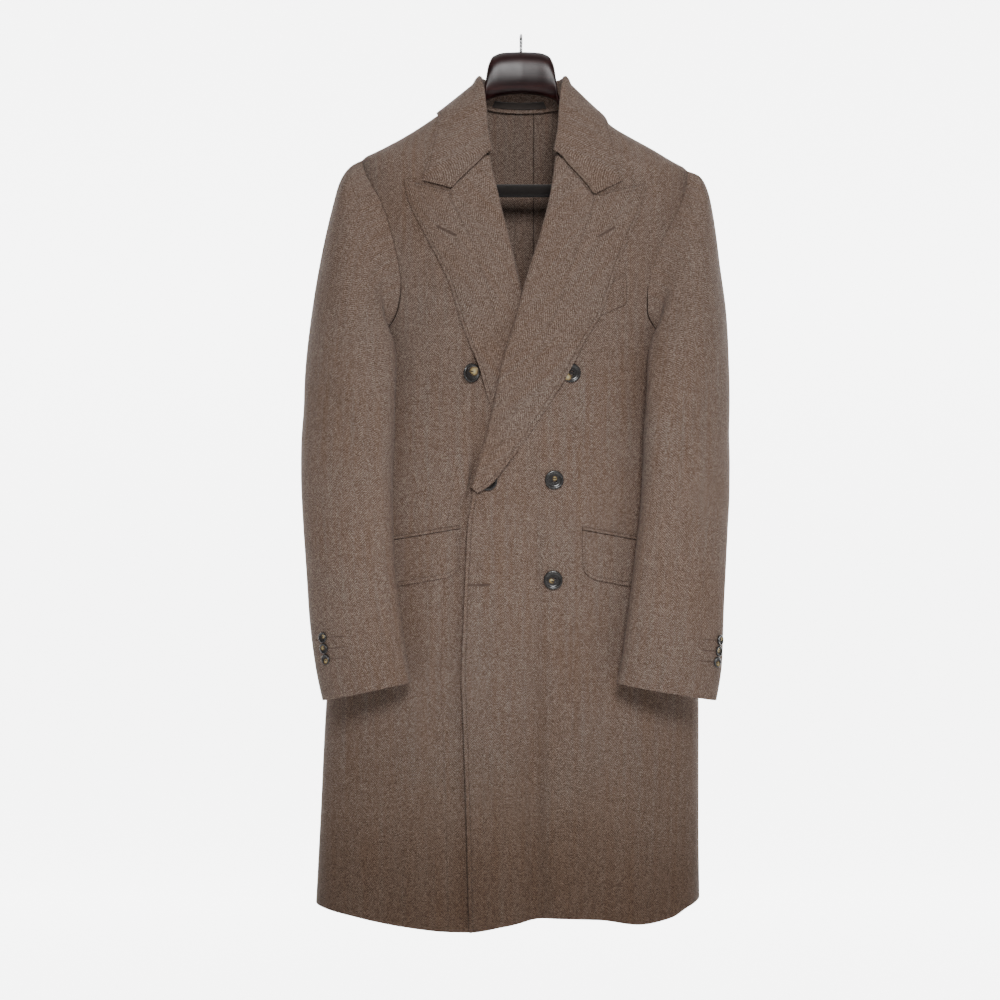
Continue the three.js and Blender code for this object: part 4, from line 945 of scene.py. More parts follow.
class Shader:
    """A material's node tree, with one method that adds any node."""

    def __init__(self, name):
        self.material = bpy.data.materials.new(name)
        self.material.use_nodes = True
        self.tree = self.material.node_tree
        self.tree.nodes.clear()

    def node(self, kind, settings=None, inputs=None, output=0):
        made = self.tree.nodes.new(kind)
        for key, value in (settings or {}).items():
            if key == "stops":
                self.set_stops(made.color_ramp, value)
            else:
                setattr(made, key, value)
        pairs = inputs.items() if isinstance(inputs, dict) else enumerate(inputs or [])
        for key, value in pairs:
            if isinstance(value, Wire):
                self.tree.links.new(value.socket, made.inputs[key])
            elif value is not None:
                made.inputs[key].default_value = value
        return Wire(self, made.outputs[output] if made.outputs else None)

    def place(self):
        return self.node("ShaderNodeTexCoord", None, None, 3)

    def noise(self, vector, scale, detail, **more):
        return self.node("ShaderNodeTexNoise", None,
                         {"Vector": vector, "Scale": scale, "Detail": detail, **more})

    def bump(self, height, strength, distance):
        return self.node("ShaderNodeBump", None,
                         {"Strength": strength, "Distance": distance, "Height": height})

    def fade(self, value, low, high, start=1.0, end=0.0):
        """A smooth change from start to end while a value goes from low to high."""
        return self.node("ShaderNodeMapRange", {"interpolation_type": "SMOOTHSTEP"},
                         {"Value": value, "From Min": low, "From Max": high, "To Min": start, "To Max": end})

    def set_stops(self, ramp, stops):
        while len(ramp.elements) < len(stops):
            ramp.elements.new(0.5)
        for element, (place, colour) in zip(ramp.elements, stops):
            element.position = place
            element.color = (*colour, 1)

    def ramp(self, value, stops):
        return self.node("ShaderNodeValToRGB", {"stops": stops}, [value])

    def mix(self, factor, a, b, blend="MIX"):
        a, b = (value if isinstance(value, Wire) else (*value, 1) for value in (a, b))
        settings = {"data_type": "RGBA", "blend_type": blend}
        return self.node("ShaderNodeMix", settings, {0: factor, 6: a, 7: b}, 2)

    def split(self, vector):
        made = self.node("ShaderNodeSeparateXYZ", None, [vector]).socket.node
        return [Wire(self, socket) for socket in made.outputs]

    def finish(self, colour, roughness, normal=None, **fixed):
        values = {"Base Color": colour, "Roughness": roughness, **fixed}
        if normal is not None:
            values["Normal"] = normal
        surface = self.node("ShaderNodeBsdfPrincipled", None, values)
        self.node("ShaderNodeOutputMaterial", None, {"Surface": surface})
        return self.material


def herringbone(sizes):
    """Brown wool: broken twill wales in narrow stripes, flecked yarn and a soft nap, with painted shade
    towards the hem and in its stitch hollows, seams and edges.
    """
    s = Shader("wool_herringbone")
    weave = s.node("ShaderNodeUVMap", {"uv_map": "weave"})
    stitch = s.node("ShaderNodeUVMap", {"uv_map": "stitch"})
    place = s.place()
    u, v, _ = s.split(weave)
    edge = s.split(stitch)[0]
    wobble = s.noise(place, 220, 2)
    slant = (u / sizes.stripe).maths("PINGPONG", 1.0) * (sizes.stripe * 1.15)
    wale = (v + slant + (wobble - 0.5) * 0.0012) / sizes.wale
    twill = wale.maths("FRACT").maths("SUBTRACT", 0.5).maths("ABSOLUTE") * 2
    fleck = s.noise(place, 900, 3, Roughness=0.7)
    grain = s.node("ShaderNodeTexVoronoi", None, {"Vector": place, "Scale": 1150}, 1)
    shade = s.node("ShaderNodeSeparateColor", None, [grain])
    cloud = s.noise(place, 9, 3)
    streak_at = s.node("ShaderNodeCombineXYZ", None, [u * 140, v * 5, 0.0])
    streak = s.noise(streak_at, 1.0, 3)
    yarn = s.ramp(fleck * 0.55 + shade * 0.3 + twill * 0.22, [
        (0.30, (0.060, 0.038, 0.027)), (0.46, (0.120, 0.080, 0.060)),
        (0.60, (0.205, 0.148, 0.118)), (0.80, (0.375, 0.300, 0.255)),
    ])
    tone = s.ramp(cloud * 0.45 + streak * 0.55, [
        (0.34, (0.93, 0.85, 0.78)), (0.50, (1.00, 0.97, 0.95)), (0.68, (1.05, 1.09, 1.11)),
    ])
    colour = s.mix(1.0, yarn, tone, "MULTIPLY")
    # Painted shade: the cloth's colour falls off towards the hem and a little at the very top, standing in
    # for the fall of the light.
    high = s.fade(s.split(place)[2], -1.2, -0.2, 0.0, 1.0)
    painted_falloff = s.ramp(high, [
        (0.01, (0.52, 0.47, 0.42)), (0.10, (0.74, 0.72, 0.69)), (0.24, (0.87, 0.87, 0.87)),
        (0.43, (0.98, 0.98, 0.98)), (0.65, (1.0, 1.0, 1.0)), (0.95, (0.90, 0.90, 0.90)),
    ])
    colour = s.mix(1.0, colour, painted_falloff, "MULTIPLY")
    # Painted shade: the cloth darkens in the pick-stitch hollow 5.2 mm in from an edge; the hollow's bump
    # below is real.
    groove = s.fade((edge - 0.0052).maths("ABSOLUTE"), 0.0, 0.0011)
    # Painted shade and shadow: a near-black line along the centre back seam, the jets' long edges and under
    # the left front's edge, from the mark in the stitch map.
    seam = s.fade((edge - SHADE_LINE_MARK * MM).maths("ABSOLUTE"), 0.0, 0.0012)
    colour = s.mix(groove * 0.22, colour, (0.030, 0.018, 0.012))
    colour = s.mix(seam * 0.6, colour, (0.020, 0.012, 0.008))
    height = twill * 0.35 + fleck * 0.55 + shade * 0.2 - groove * 1.2
    return s.finish(colour, 0.92, s.bump(height, 0.55, 0.0006), **{
        "Sheen Weight": 0.05, "Sheen Roughness": 0.5,
        "Specular IOR Level": 0.2})


def horn_button():
    """Dark polished horn with amber and cream clouds."""
    s = Shader("horn_button")
    place = s.place()
    pale = s.node("ShaderNodeAttribute", {"attribute_name": "pale"}, None, 2)
    cloud = s.noise(place, 130, 4, Distortion=1.2)
    fibre = s.noise(place, 420, 3)
    colour = s.ramp(pale * 0.62 + cloud * 0.42 + fibre * 0.1, [
        (0.0, (0.010, 0.009, 0.009)), (0.36, (0.024, 0.021, 0.020)), (0.46, (0.11, 0.065, 0.022)),
        (0.60, (0.34, 0.25, 0.11)), (0.85, (0.50, 0.42, 0.24)),
    ])
    return s.finish(colour, 0.26, s.bump(fibre, 0.1, 0.0003), **{"Coat Weight": 0.3})


def thread(name, colour):
    s = Shader(name)
    place = s.place()
    ply = s.noise(place, 1800, 2)
    dark = tuple(c * 0.55 for c in colour)
    tint = s.mix(ply, dark, tuple(min(1, c * 1.35) for c in colour))
    return s.finish(tint, 0.75, s.bump(ply, 0.5, 0.0003))


def lacquered_wood():
    """Dark red-brown lacquer over a fine straight grain."""
    s = Shader("lacquered_wood")
    place = s.place()
    stretched = s.node("ShaderNodeMapping", None, {"Vector": place, "Scale": (9, 130, 130)})
    grain = s.noise(stretched, 1.0, 5, Distortion=0.6)
    wear = s.noise(place, 60, 4)
    colour = s.ramp(grain, [
        (0.3, (0.008, 0.002, 0.002)), (0.55, (0.024, 0.007, 0.007)), (0.75, (0.042, 0.012, 0.010)),
    ])
    return s.finish(colour, 0.26 + wear * 0.14, s.bump(grain, 0.08, 0.0004), **{
        "Coat Weight": 0.12, "Coat Roughness": 0.3, "Specular IOR Level": 0.25})


def flocked_bar():
    s = Shader("flocked_bar")
    place = s.place()
    pile = s.noise(place, 1500, 3)
    colour = s.ramp(pile, [(0.35, (0.004, 0.003, 0.003)), (0.7, (0.022, 0.015, 0.012))])
    return s.finish(colour, 0.95, s.bump(pile, 0.6, 0.0005), **{"Sheen Weight": 0.3})


def polished_wire():
    s = Shader("polished_wire")
    place = s.place()
    rub = s.noise(place, 300, 3)
    return s.finish((0.62, 0.62, 0.63, 1), 0.14 + rub * 0.2, None, **{"Metallic": 1.0})


def woven_tape():
    s = Shader("woven_tape")
    place = s.place()
    wave = s.node("ShaderNodeTexWave", {"wave_type": "BANDS", "bands_direction": "X"},
                  {"Vector": place, "Scale": 380, "Distortion": 1.0}, 1)
    colour = s.mix(wave, (0.012, 0.008, 0.006), (0.045, 0.030, 0.022))
    return s.finish(colour, 0.7, s.bump(wave, 0.6, 0.0004), **{"Sheen Weight": 0.2})


def backdrop_paper():
    s = Shader("backdrop_paper")
    place = s.place()
    tooth = s.noise(place, 3, 2)
    wall = s.fade(s.split(place)[1], 1.0, 2.3, 0.0, 1.0)
    glow = s.mix(wall, (0.0, 0.0, 0.0), (1.0, 1.0, 1.0))
    colour = s.mix(tooth, (0.84, 0.845, 0.845), (0.86, 0.865, 0.865))
    return s.finish(colour, 0.95, None, **{"Emission Color": glow, "Emission Strength": 4.9})


MATERIALS = {}


def material(name):
    if name not in MATERIALS:
        makers = {
            "cloth": lambda: herringbone(bpy.context.scene.overcoat_cloth),
            "horn": horn_button, "wood": lacquered_wood, "flock": flocked_bar,
            "chrome": polished_wire, "tape": woven_tape, "paper": backdrop_paper,
            "stitch": lambda: thread("stitch_thread", (0.060, 0.038, 0.028)),
            "purl": lambda: thread("buttonhole_thread", (0.105, 0.066, 0.048)),
        }
        MATERIALS[name] = makers[name]()
    return MATERIALS[name]


# Pieces on the fronts
def patch(place, columns, rows, base, lift, thickness):
    """Outer and inner grids of a patch on a front, from its own measures across and down."""
    u, v = np.meshgrid(np.linspace(0, 1, columns), np.linspace(0, 1, rows))
    u = 0.5 - np.cos(u * PI) / 2
    x, z = place(u, v)
    rest = base(x, z) + lift(u, v)
    return on_front(x, z, rest + thickness), on_front(x, z, rest)


def pocket_mouth(side):
    x, z, end_x, end_z, depth = POCKETS[side]
    width = BODY.at(side, z)
    turns = np.arcsin(np.array([x, end_x]) / width)

    def mouth(u):
        px = width * np.sin(lerp(turns[0], turns[1], u))
        return px, lerp(z, end_z, (px - x) / (end_x - x))

    return mouth, math.hypot(end_x - x, end_z - z), math.copysign(0.02, end_x), depth


def flap_place(side):
    mouth, run, lean, depth = pocket_mouth(side)

    def place(u, v):
        inset = np.clip(1 - np.minimum(u, 1 - u) * run / FLAP_CORNER, 0, 1)
        corner = FLAP_CORNER * (1 - np.sqrt(1 - inset * inset))
        px, pz = mouth(u)
        return px + lean * depth * v, pz - v * (depth - corner)

    return place


def trim_piece(name, node, grids, edges, material):
    """A small sheet of cloth on a front. edges: distances to its top-stitched edges."""
    outer, inner = grids
    weave = np.stack([outer[..., 0], outer[..., 2]], -1)
    stitch = far_stitch(*outer.shape[:2])
    stitch[..., 0] = edges(outer)
    piece = cloth_shell(name, outer, inner, weave, stitch, material, (0.5, 0.9, 0.7, 0.7))
    finish_cloth(piece, node, outer)


def side_edges(outer):
    across = arc_lengths(outer, 1)
    return np.minimum(across, across[:, -1:] - across)


def flap_edges(outer):
    down = arc_lengths(outer, 0)
    return np.minimum(down[-1:] - down, side_edges(outer))


def jet_edges(outer):
    """A jet's two long edges lie in a painted shade line along its stitching."""
    down = arc_lengths(outer, 0)
    return SHADE_LINE_MARK + np.minimum(down, down[-1:] - down)


def pocket(side, material):
    base = front_base(side)
    flap_lift = lambda u, v: 0.25 + 1.1 * v * v + 0.2 * np.sin(u * PI * 2.3 + 0.6) * v
    flap = patch(flap_place(side), 90, 30, base, flap_lift, 1.3)
    trim_piece(f"cloth_pocket_flap_{side}", f"pocket_flap_{side}", flap, flap_edges, material)
    mouth = pocket_mouth(side)[0]

    def jet_place(u, v):
        px, pz = mouth(u)
        return px, pz + 0.2 + JET_HEIGHT * (1 - v)

    jet = patch(jet_place, 80, 8, base, lambda u, v: 0.3 + 0.35 * np.sin(v * PI), 1.2)
    trim_piece(f"cloth_pocket_jet_{side}", f"pocket_jet_{side}", jet, jet_edges, material)
    return flap[0]


def chest_welt(material):
    (xo, upo, lowo), (xi, upi, lowi) = WELT_OUTER, WELT_INNER

    def place(u, v):
        return lerp(xo, xi, u), lerp(lerp(upo, lowo, v), lerp(upi, lowi, v), u)

    welt = patch(place, 30, 22, front_base("left"), lambda u, v: 0.3 + 0.2 * np.sin(v * PI), 1.8)
    trim_piece("cloth_chest_welt", "chest_welt", welt, side_edges, material)


# Threads
def stitch_group():
    """Node group that lays short threads at even steps along a line."""
    tree = bpy.data.node_groups.new("laid_threads", "GeometryNodeTree")
    face = tree.interface
    face.new_socket("Geometry", in_out="INPUT", socket_type="NodeSocketGeometry")
    for name, value in (("Spacing", 0.005), ("Length", 0.003), ("Thickness", 0.0007), ("Turn", 0.0)):
        made = face.new_socket(name, in_out="INPUT", socket_type="NodeSocketFloat")
        made.default_value = value
    face.new_socket("Material", in_out="INPUT", socket_type="NodeSocketMaterial")
    face.new_socket("Geometry", in_out="OUTPUT", socket_type="NodeSocketGeometry")

    def add(kind, settings=None, links=None):
        made = tree.nodes.new(kind)
        for key, value in (settings or {}).items():
            setattr(made, key, value)
        for key, value in (links or {}).items():
            if isinstance(value, bpy.types.NodeSocket):
                tree.links.new(value, made.inputs[key])
            else:
                made.inputs[key].default_value = value
        return made

    start = add("NodeGroupInput").outputs
    line = add("GeometryNodeMeshToCurve", None, {"Mesh": start["Geometry"]})
    even = add("GeometryNodeResampleCurve", {"mode": "LENGTH"},
               {"Curve": line.outputs[0], "Length": start["Spacing"]})
    tangent = add("GeometryNodeInputTangent").outputs[0]
    up = add("GeometryNodeInputNamedAttribute", {"data_type": "FLOAT_VECTOR"}, {"Name": "up"}).outputs[0]
    first = add("FunctionNodeAlignRotationToVector", {"axis": "X"}, {"Vector": tangent})
    second = add("FunctionNodeAlignRotationToVector", {"axis": "Z", "pivot_axis": "X"},
                 {"Rotation": first.outputs[0], "Vector": up})
    wander = add("FunctionNodeRandomValue", {"data_type": "FLOAT"}, {"Seed": 7})
    wander.inputs[2].default_value, wander.inputs[3].default_value = -0.12, 0.12
    turn = add("ShaderNodeMath", {"operation": "ADD"}, {0: start["Turn"], 1: wander.outputs[1]})
    spin = add("FunctionNodeAxisAngleToRotation", None, {"Axis": (0, 0, 1), "Angle": turn.outputs[0]})
    laid = add("FunctionNodeRotateRotation", {"rotation_space": "LOCAL"},
               {"Rotation": second.outputs[0], "Rotate By": spin.outputs[0]})
    size = add("ShaderNodeCombineXYZ", None,
               {"X": start["Length"], "Y": start["Thickness"], "Z": start["Thickness"]})
    bead = add("GeometryNodeMeshUVSphere", None, {"Segments": 8, "Rings": 6, "Radius": 0.5})
    placed = add("GeometryNodeInstanceOnPoints", None, {
        "Points": even.outputs[0], "Instance": bead.outputs[0], "Rotation": laid.outputs[0],
        "Scale": size.outputs[0]})
    real = add("GeometryNodeRealizeInstances", None, {0: placed.outputs[0]})
    soft = add("GeometryNodeSetShadeSmooth", None, {0: real.outputs[0]})
    done = add("GeometryNodeSetMaterial", None, {"Geometry": soft.outputs[0], "Material": start["Material"]})
    end = tree.nodes.new("NodeGroupOutput")
    tree.links.new(done.outputs[0], end.inputs[0])
    return tree


def lay_threads(name, lines, values):
    """Threads along lines of (points, normals) in millimetres, as one plain mesh."""
    tree = bpy.data.node_groups.get("laid_threads") or stitch_group()
    points = np.concatenate([line[0] for line in lines])
    normals = np.concatenate([line[1] for line in lines])
    edges, start = [], 0
    for line in lines:
        count = len(line[0])
        edges += [(start + i, start + i + 1) for i in range(count - 1)]
        start += count
    mesh = bpy.data.meshes.new(name)
    mesh.from_pydata((points * MM).tolist(), edges, [])
    up = mesh.attributes.new("up", "FLOAT_VECTOR", "POINT")
    up.data.foreach_set("vector", normals.astype(np.float32).ravel())
    thing = link(bpy.data.objects.new(name, mesh))
    modifier = thing.modifiers.new("threads", "NODES")
    modifier.node_group = tree
    keys = {item.name: item.identifier for item in tree.interface.items_tree if item.in_out == "INPUT"}
    for key, value in values.items():
        modifier[keys[key]] = value
    evaluated = thing.evaluated_get(bpy.context.evaluated_depsgraph_get())
    plain = bpy.data.meshes.new_from_object(evaluated)
    thing.modifiers.clear()
    thing.data = plain
    bpy.data.meshes.remove(mesh)
    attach(thing, "root")
    return thing


def grid_line(outer, inset, which):
    """A line a fixed distance inside an edge of a grid. which: the edge it follows."""
    grid = {"last column": outer[:, ::-1], "first column": outer,
            "last row": outer.transpose(1, 0, 2)[:, ::-1], "first row": outer.transpose(1, 0, 2)}[which]
    length = arc_lengths(grid, 1)
    normals = grid_normals(grid)
    points, ups = [], []
    for i in range(len(grid)):
        if length[i, -1] < inset * 1.5:
            continue
        points.append([np.interp(inset, length[i], grid[i, :, k]) for k in range(3)])
        j = int(np.clip(np.searchsorted(length[i], inset), 0, grid.shape[1] - 1))
        ups.append(normals[i, j])
    return np.array(points), np.array(ups)


def purl_ring(middle, across, up, half_length, half_width, count=70):
    """A long closed ring round a buttonhole, as points and normals."""
    t = np.linspace(0, 2 * PI, count)
    c, s = np.cos(t), np.sin(t)
    long = np.sign(c) * np.abs(c) ** 0.35 * half_length
    wide = np.sign(s) * np.abs(s) ** 0.8 * half_width
    side = np.cross(up, across)
    points = middle + long[:, None] * across + wide[:, None] * side
    return points, np.repeat(up[None], count, 0)


# Buttons
def button_mesh(radius, height, holes, pale):
    """A dished disc with a raised rim and four holes, in its own frame with the top along +Z."""
    profile = np.array(BUTTON_PROFILE)
    inner = np.linspace(0.02, 0.58, 26)
    dish = np.stack([inner, np.interp(inner, profile[:3, 0], profile[:3, 1])], 1)
    rings = np.concatenate([dish, profile[2:]])
    sides = BUTTON_SIDES
    turn = np.linspace(0, 2 * PI, sides, endpoint=False)
    x = rings[:, :1] * np.cos(turn) * radius
    y = rings[:, :1] * np.sin(turn) * radius
    z = np.repeat(rings[:, 1:] * height, sides, 1)
    top = np.arange(len(rings)) < 30
    for angle in (45, 135, 225, 315):
        hx, hy = holes * math.cos(math.radians(angle)), holes * math.sin(math.radians(angle))
        near = np.hypot(x - hx, y - hy)
        z -= np.where(top[:, None], 0.55 * height * (1 - smooth(near, radius * 0.055, radius * 0.105)), 0)
    points = np.stack([x, y, z], -1).reshape(-1, 3)
    n = len(rings)
    i, j = np.meshgrid(np.arange(n - 1), np.arange(sides), indexing="ij")
    a, b = i * sides + j, i * sides + (j + 1) % sides
    faces = np.stack([a, a + sides, b + sides, b], -1).reshape(-1, 4).tolist()
    faces.append(list(range(sides)))
    faces.append([(n - 1) * sides + j for j in range(sides)][::-1])
    px, py, spread = pale
    cloud = bell(np.hypot(points[:, 0] / radius - px, points[:, 1] / radius - py), spread)
    return points, faces, cloud


def place_button(name, node, spot, normal, size, holes, pale, material):
    radius, height = size
    points, faces, cloud = button_mesh(radius, height, holes, pale)
    up = unit(normal)
    side = unit(np.cross([0.0, 0.0, 1.0], up))
    high = np.cross(up, side)
    world = spot + points[:, :1] * side + points[:, 1:2] * high + points[:, 2:3] * up
    piece = make_mesh(name, world, faces, {"weave": points[:, :2]}, material)
    layer = piece.data.attributes.new("pale", "FLOAT", "POINT")
    layer.data.foreach_set("value", cloud.astype(np.float32))
    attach(piece, "root")
    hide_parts(node)
    floor = spot + up * height * 0.72
    lines = []
    for hx, hy, ex, ey in ((-1, 1, 1, 1), (-1, -1, 1, -1)):
        for shift in (-0.3, 0.3):
            a = floor + (side * hx + high * hy) * holes * 0.707 + high * shift
            b = floor + (side * ex + high * ey) * holes * 0.707 + high * shift
            t = np.linspace(0, 1, 14)[:, None]
            arch = (np.sin(t * PI) ** 0.5 * 0.9 - 0.5) * up
            lines.append(a * (1 - t) + b * t + arch)
    return lines


def tube(path, radius, sides):
    """Points and faces of a round tube along a path, with rounded ends."""
    path = np.asarray(path, float)
    tangent = unit(np.gradient(path, axis=0))
    frame = np.cross(tangent[0], [0.3, 0.2, 1.0])
    rings, radii = [], np.full(len(path), radius, float)
    radii[0] = radii[-1] = radius * 0.55
    for point, direction, size in zip(path, tangent, radii):
        frame = unit(frame - direction * (frame @ direction))
        other = np.cross(direction, frame)
        turn = np.linspace(0, 2 * PI, sides, endpoint=False)[:, None]
        rings.append(point + (np.cos(turn) * frame + np.sin(turn) * other) * size)
    return loft_faces(rings)


def loft_faces(rings):
    n, m = len(rings), len(rings[0])
    faces = []
    for i in range(n - 1):
        for j in range(m):
            a, b = i * m + j, i * m + (j + 1) % m
            faces.append((a, b, b + m, a + m))
    faces.append(tuple(range(m))[::-1])
    faces.append(tuple((n - 1) * m + j for j in range(m)))
    return np.concatenate(rings), faces


def join_parts(parts):
    points, faces, start = [], [], 0
    for part_points, part_faces in parts:
        points.append(part_points)
        faces += [tuple(start + k for k in face) for face in part_faces]
        start += len(part_points)
    return np.concatenate(points), faces


def plain_piece(name, parts, material, nodes=()):
    """A mesh piece of closed parts that rides with the coat."""
    points, faces = join_parts(parts)
    piece = make_mesh(name, points, faces, {}, material)
    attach(piece, "root")
    if nodes:
        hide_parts(*nodes)
    return piece


def cuff_spot(side, x, z):
    turn, v = np.array([0.5]), np.array([10.0])
    for _ in range(40):
        point = sleeve_point(side, turn, v)[0]
        turn = np.clip(turn + (abs(point[0]) - x) / 60, 0.05, 1.4)
        v = np.clip(v + (point[2] - z) / 70, 0, 12)
    return turn, v


# Hanger
def hanger_ring(row, sign, sides=40):
    x, top, bottom, depth, centre = row
    turn = 2 * PI * (np.arange(sides) + 0.5) / sides
    shape = lambda value: np.sign(value) * np.abs(value) ** (2 / 2.6)
    y = centre + depth * shape(np.cos(turn))
    z = (top + bottom) / 2 + (top - bottom) / 2 * shape(np.sin(turn))
    return np.stack([np.full(sides, sign * x), y, z], -1)


def hanger_rows():
    """Rows along one arm, closer together, with a softened tip."""
    table = Table(["x", "top", "bottom", "depth", "centre"], HANGER)
    xs = np.concatenate([np.linspace(0, 36, 10), np.linspace(37, 60, 24), np.linspace(62, 184.6, 40),
                         np.linspace(184.9, 186.2, 5), np.linspace(188, 199, 8), np.linspace(199.5, 202, 6)])
    names = ("top", "bottom", "depth", "centre")
    rows = [[x] + [float(table.at(name, x)) for name in names] for x in xs]
    rows[-1][0] = 200.4
    x, top, bottom, depth, centre = HANGER[-1]
    middle, half = (top + bottom) / 2, (top - bottom) / 2
    for inside, keep in ((0.8, 0.86), (0.3, 0.62), (0.0, 0.3)):
        rows.append([x - inside, middle + half * keep, middle - half * keep, depth * keep, centre])
    return rows


def hanger(materials):
    rows = hanger_rows()
    rings = [hanger_ring(row, -1) for row in rows[:0:-1]] + [hanger_ring(row, 1) for row in rows]
    plain_piece("hanger_wood", [loft_faces(rings)], materials["wood"], ["hanger_body"])
    sides, half = 40, BAR_HALF
    turn = np.linspace(0, 2 * PI, sides, endpoint=False)
    rings = []
    for x, radius in ((-half, 7.4), (-half + 0.3, 8.1), (-half + 1, 8.4), (half - 1, 8.4),
                      (half - 0.3, 8.1), (half, 7.4)):
        y, z = BAR_Y + radius * np.cos(turn), BAR_Z + radius * np.sin(turn)
        rings.append(np.stack([np.full(sides, x), y, z], -1))
    plain_piece("hanger_bar", [loft_faces(rings)], materials["flock"], ["trouser_bar"])
    wire = smooth_path(np.array([HOOK], float))[0]
    plain_piece("hanger_hook", [tube(wire, 2.0, 20)], materials["chrome"], ["hook"])


def hanging_loop(material):
    paths = collar_half(1, 23)
    paths = np.concatenate([paths, collar_half(-1, 23)[::-1][1:]])
    paths = paths[(paths[:, -1, 1] > 20) & (np.abs(paths[:, -1, 0]) < 55)]
    ends = paths[np.argsort(paths[:, -1, 0])][:, -2:]
    low, high, top, bottom = -34, 30, 0.1, 0.68
    rows = []
    for k in np.linspace(top, bottom, 10):
        line = lerp(ends[:, 0], ends[:, 1], k)
        flare = lerp(0, 4, (k - top) / (bottom - top))
        xs = np.linspace(low - flare, high + flare, 50)
        rows.append(np.stack([np.interp(xs, line[:, 0], line[:, axis]) for axis in range(3)], -1))
    grid = np.array(rows)
    x = np.linspace(low, high, 50)
    bulge = np.sin((x - low) / (high - low) * PI)[None, :, None] * 0.5
    away = np.array([0, -1, -0.3])
    outer, inner = grid + away * (2.1 + bulge), grid + away * (0.5 + bulge)
    weave = np.stack([outer[..., 0], outer[..., 2]], -1)
    piece = cloth_shell("neck_loop", outer, inner, weave, far_stitch(*outer.shape[:2]), material,
                        (0.6, 0.6, 0.4, 0.4))
    finish_cloth(piece, "hanging_loop", outer)


# Stage
def area_light(name, place, aim, size, power):
    data = bpy.data.lights.new(name, "AREA")
    data.shape = "RECTANGLE"
    data.size, data.size_y = size
    data.energy = power
    thing = link(bpy.data.objects.new(name, data))
    from_here = np.array(aim, float) - np.array(place, float)
    thing.location = place
    yaw = math.atan2(-from_here[0], from_here[1])
    pitch = math.atan2(from_here[2], math.hypot(from_here[0], from_here[1]))
    thing.rotation_euler = (PI / 2 + pitch, 0, yaw)


def build_stage(settings):
    front, bend, radius, top, half = -9.0, 4.4, 1.6, 6.0, 7.0
    turns = np.radians(range(6, 91, 6))
    profile = [(front, 0.0), (bend, 0.0)]
    profile += [(bend + radius * math.sin(t), radius * (1 - math.cos(t))) for t in turns]
    profile.append((bend + radius, top))
    points = [(x, y, z + settings.floor_height) for y, z in profile for x in (-half, half)]
    faces = [(k - 2, k - 1, k + 1, k) for k in range(2, len(points), 2)]
    sweep = make_mesh("studio_sweep", np.array(points) / MM, faces, {}, material("paper"))
    area_light("key_light", (0.25, -3.2, 0.75), (0, 0, -0.4), (0.9, 0.9), settings.key_power)
    area_light("fill_light", (3.0, -3.2, 0.4), (0, 0, -0.6), (2.4, 2.6), settings.fill_power)
    area_light("top_light", (0, -0.6, 3.0), (0, 0, -0.4), (3.0, 2.0), settings.top_power)
    area_light("backdrop_light", (0, 0.9, 3.2), (0, 2.6, -0.6), (5.0, 1.2), settings.backdrop_power)
    world = bpy.data.worlds.new("soft_room")
    world.use_nodes = True
    world.node_tree.nodes["Background"].inputs[0].default_value = (1, 1, 1, 1)
    world.node_tree.nodes["Background"].inputs[1].default_value = settings.ambient
    bpy.context.scene.world = world
    data = bpy.data.cameras.new("camera")
    data.sensor_width = 36
    data.lens = 126.5625
    data.clip_start, data.clip_end = 0.1, 60
    camera = link(bpy.data.objects.new("camera", data))
    camera.location = (-0.0274, -4.595, -0.6052)
    camera.rotation_euler = (PI / 2, 0, 0)
    bpy.context.scene.camera = camera


# Settings
class OvercoatCloth(bpy.types.PropertyGroup):
    """Sizes of the herringbone weave"""

    stripe: bpy.props.FloatProperty(
        name="Stripe", description="Width of one stripe of the herringbone", default=0.010, min=0.002,
        unit="LENGTH")
    wale: bpy.props.FloatProperty(
        name="Wale", description="Height of one twill line", default=0.0032, min=0.0005, unit="LENGTH")


class OvercoatThreads(bpy.types.PropertyGroup):
    """Sizes of the hand stitches"""

    spacing: bpy.props.FloatProperty(
        name="Pick spacing", description="Distance between pick stitches", default=0.0055, min=0.001,
        unit="LENGTH")
    inset: bpy.props.FloatProperty(
        name="Pick inset", description="Distance of the pick stitches from an edge", default=0.0052,
        min=0.001, unit="LENGTH")
    purl: bpy.props.FloatProperty(
        name="Purl spacing", description="Distance between the threads round a buttonhole",
        default=0.00075, min=0.0003, unit="LENGTH")


class OvercoatStage(bpy.types.PropertyGroup):
    """Floor and lights of the studio"""

    floor_height: bpy.props.FloatProperty(
        name="Floor", description="Height of the studio floor", default=-1.62, unit="LENGTH")
    key_power: bpy.props.FloatProperty(
        name="Key", description="Power of the key light", default=80.0, unit="POWER")
    fill_power: bpy.props.FloatProperty(
        name="Fill", description="Power of the fill light", default=17.0, unit="POWER")
    top_power: bpy.props.FloatProperty(
        name="Top", description="Power of the top light", default=26.0, unit="POWER")
    backdrop_power: bpy.props.FloatProperty(
        name="Backdrop", description="Power of the light on the backdrop", default=60.0, unit="POWER")
    ambient: bpy.props.FloatProperty(
        name="Ambient", description="Strength of the light all round", default=0.14, unit="NONE")


# Operators
class OVERCOAT_OT_stage(bpy.types.Operator):
    """Build the studio sweep, the lights and the camera"""

    bl_idname = "overcoat.stage"
    bl_label = "Stage"

    def execute(self, context):
        build_stage(context.scene.overcoat_stage)
        return {"FINISHED"}


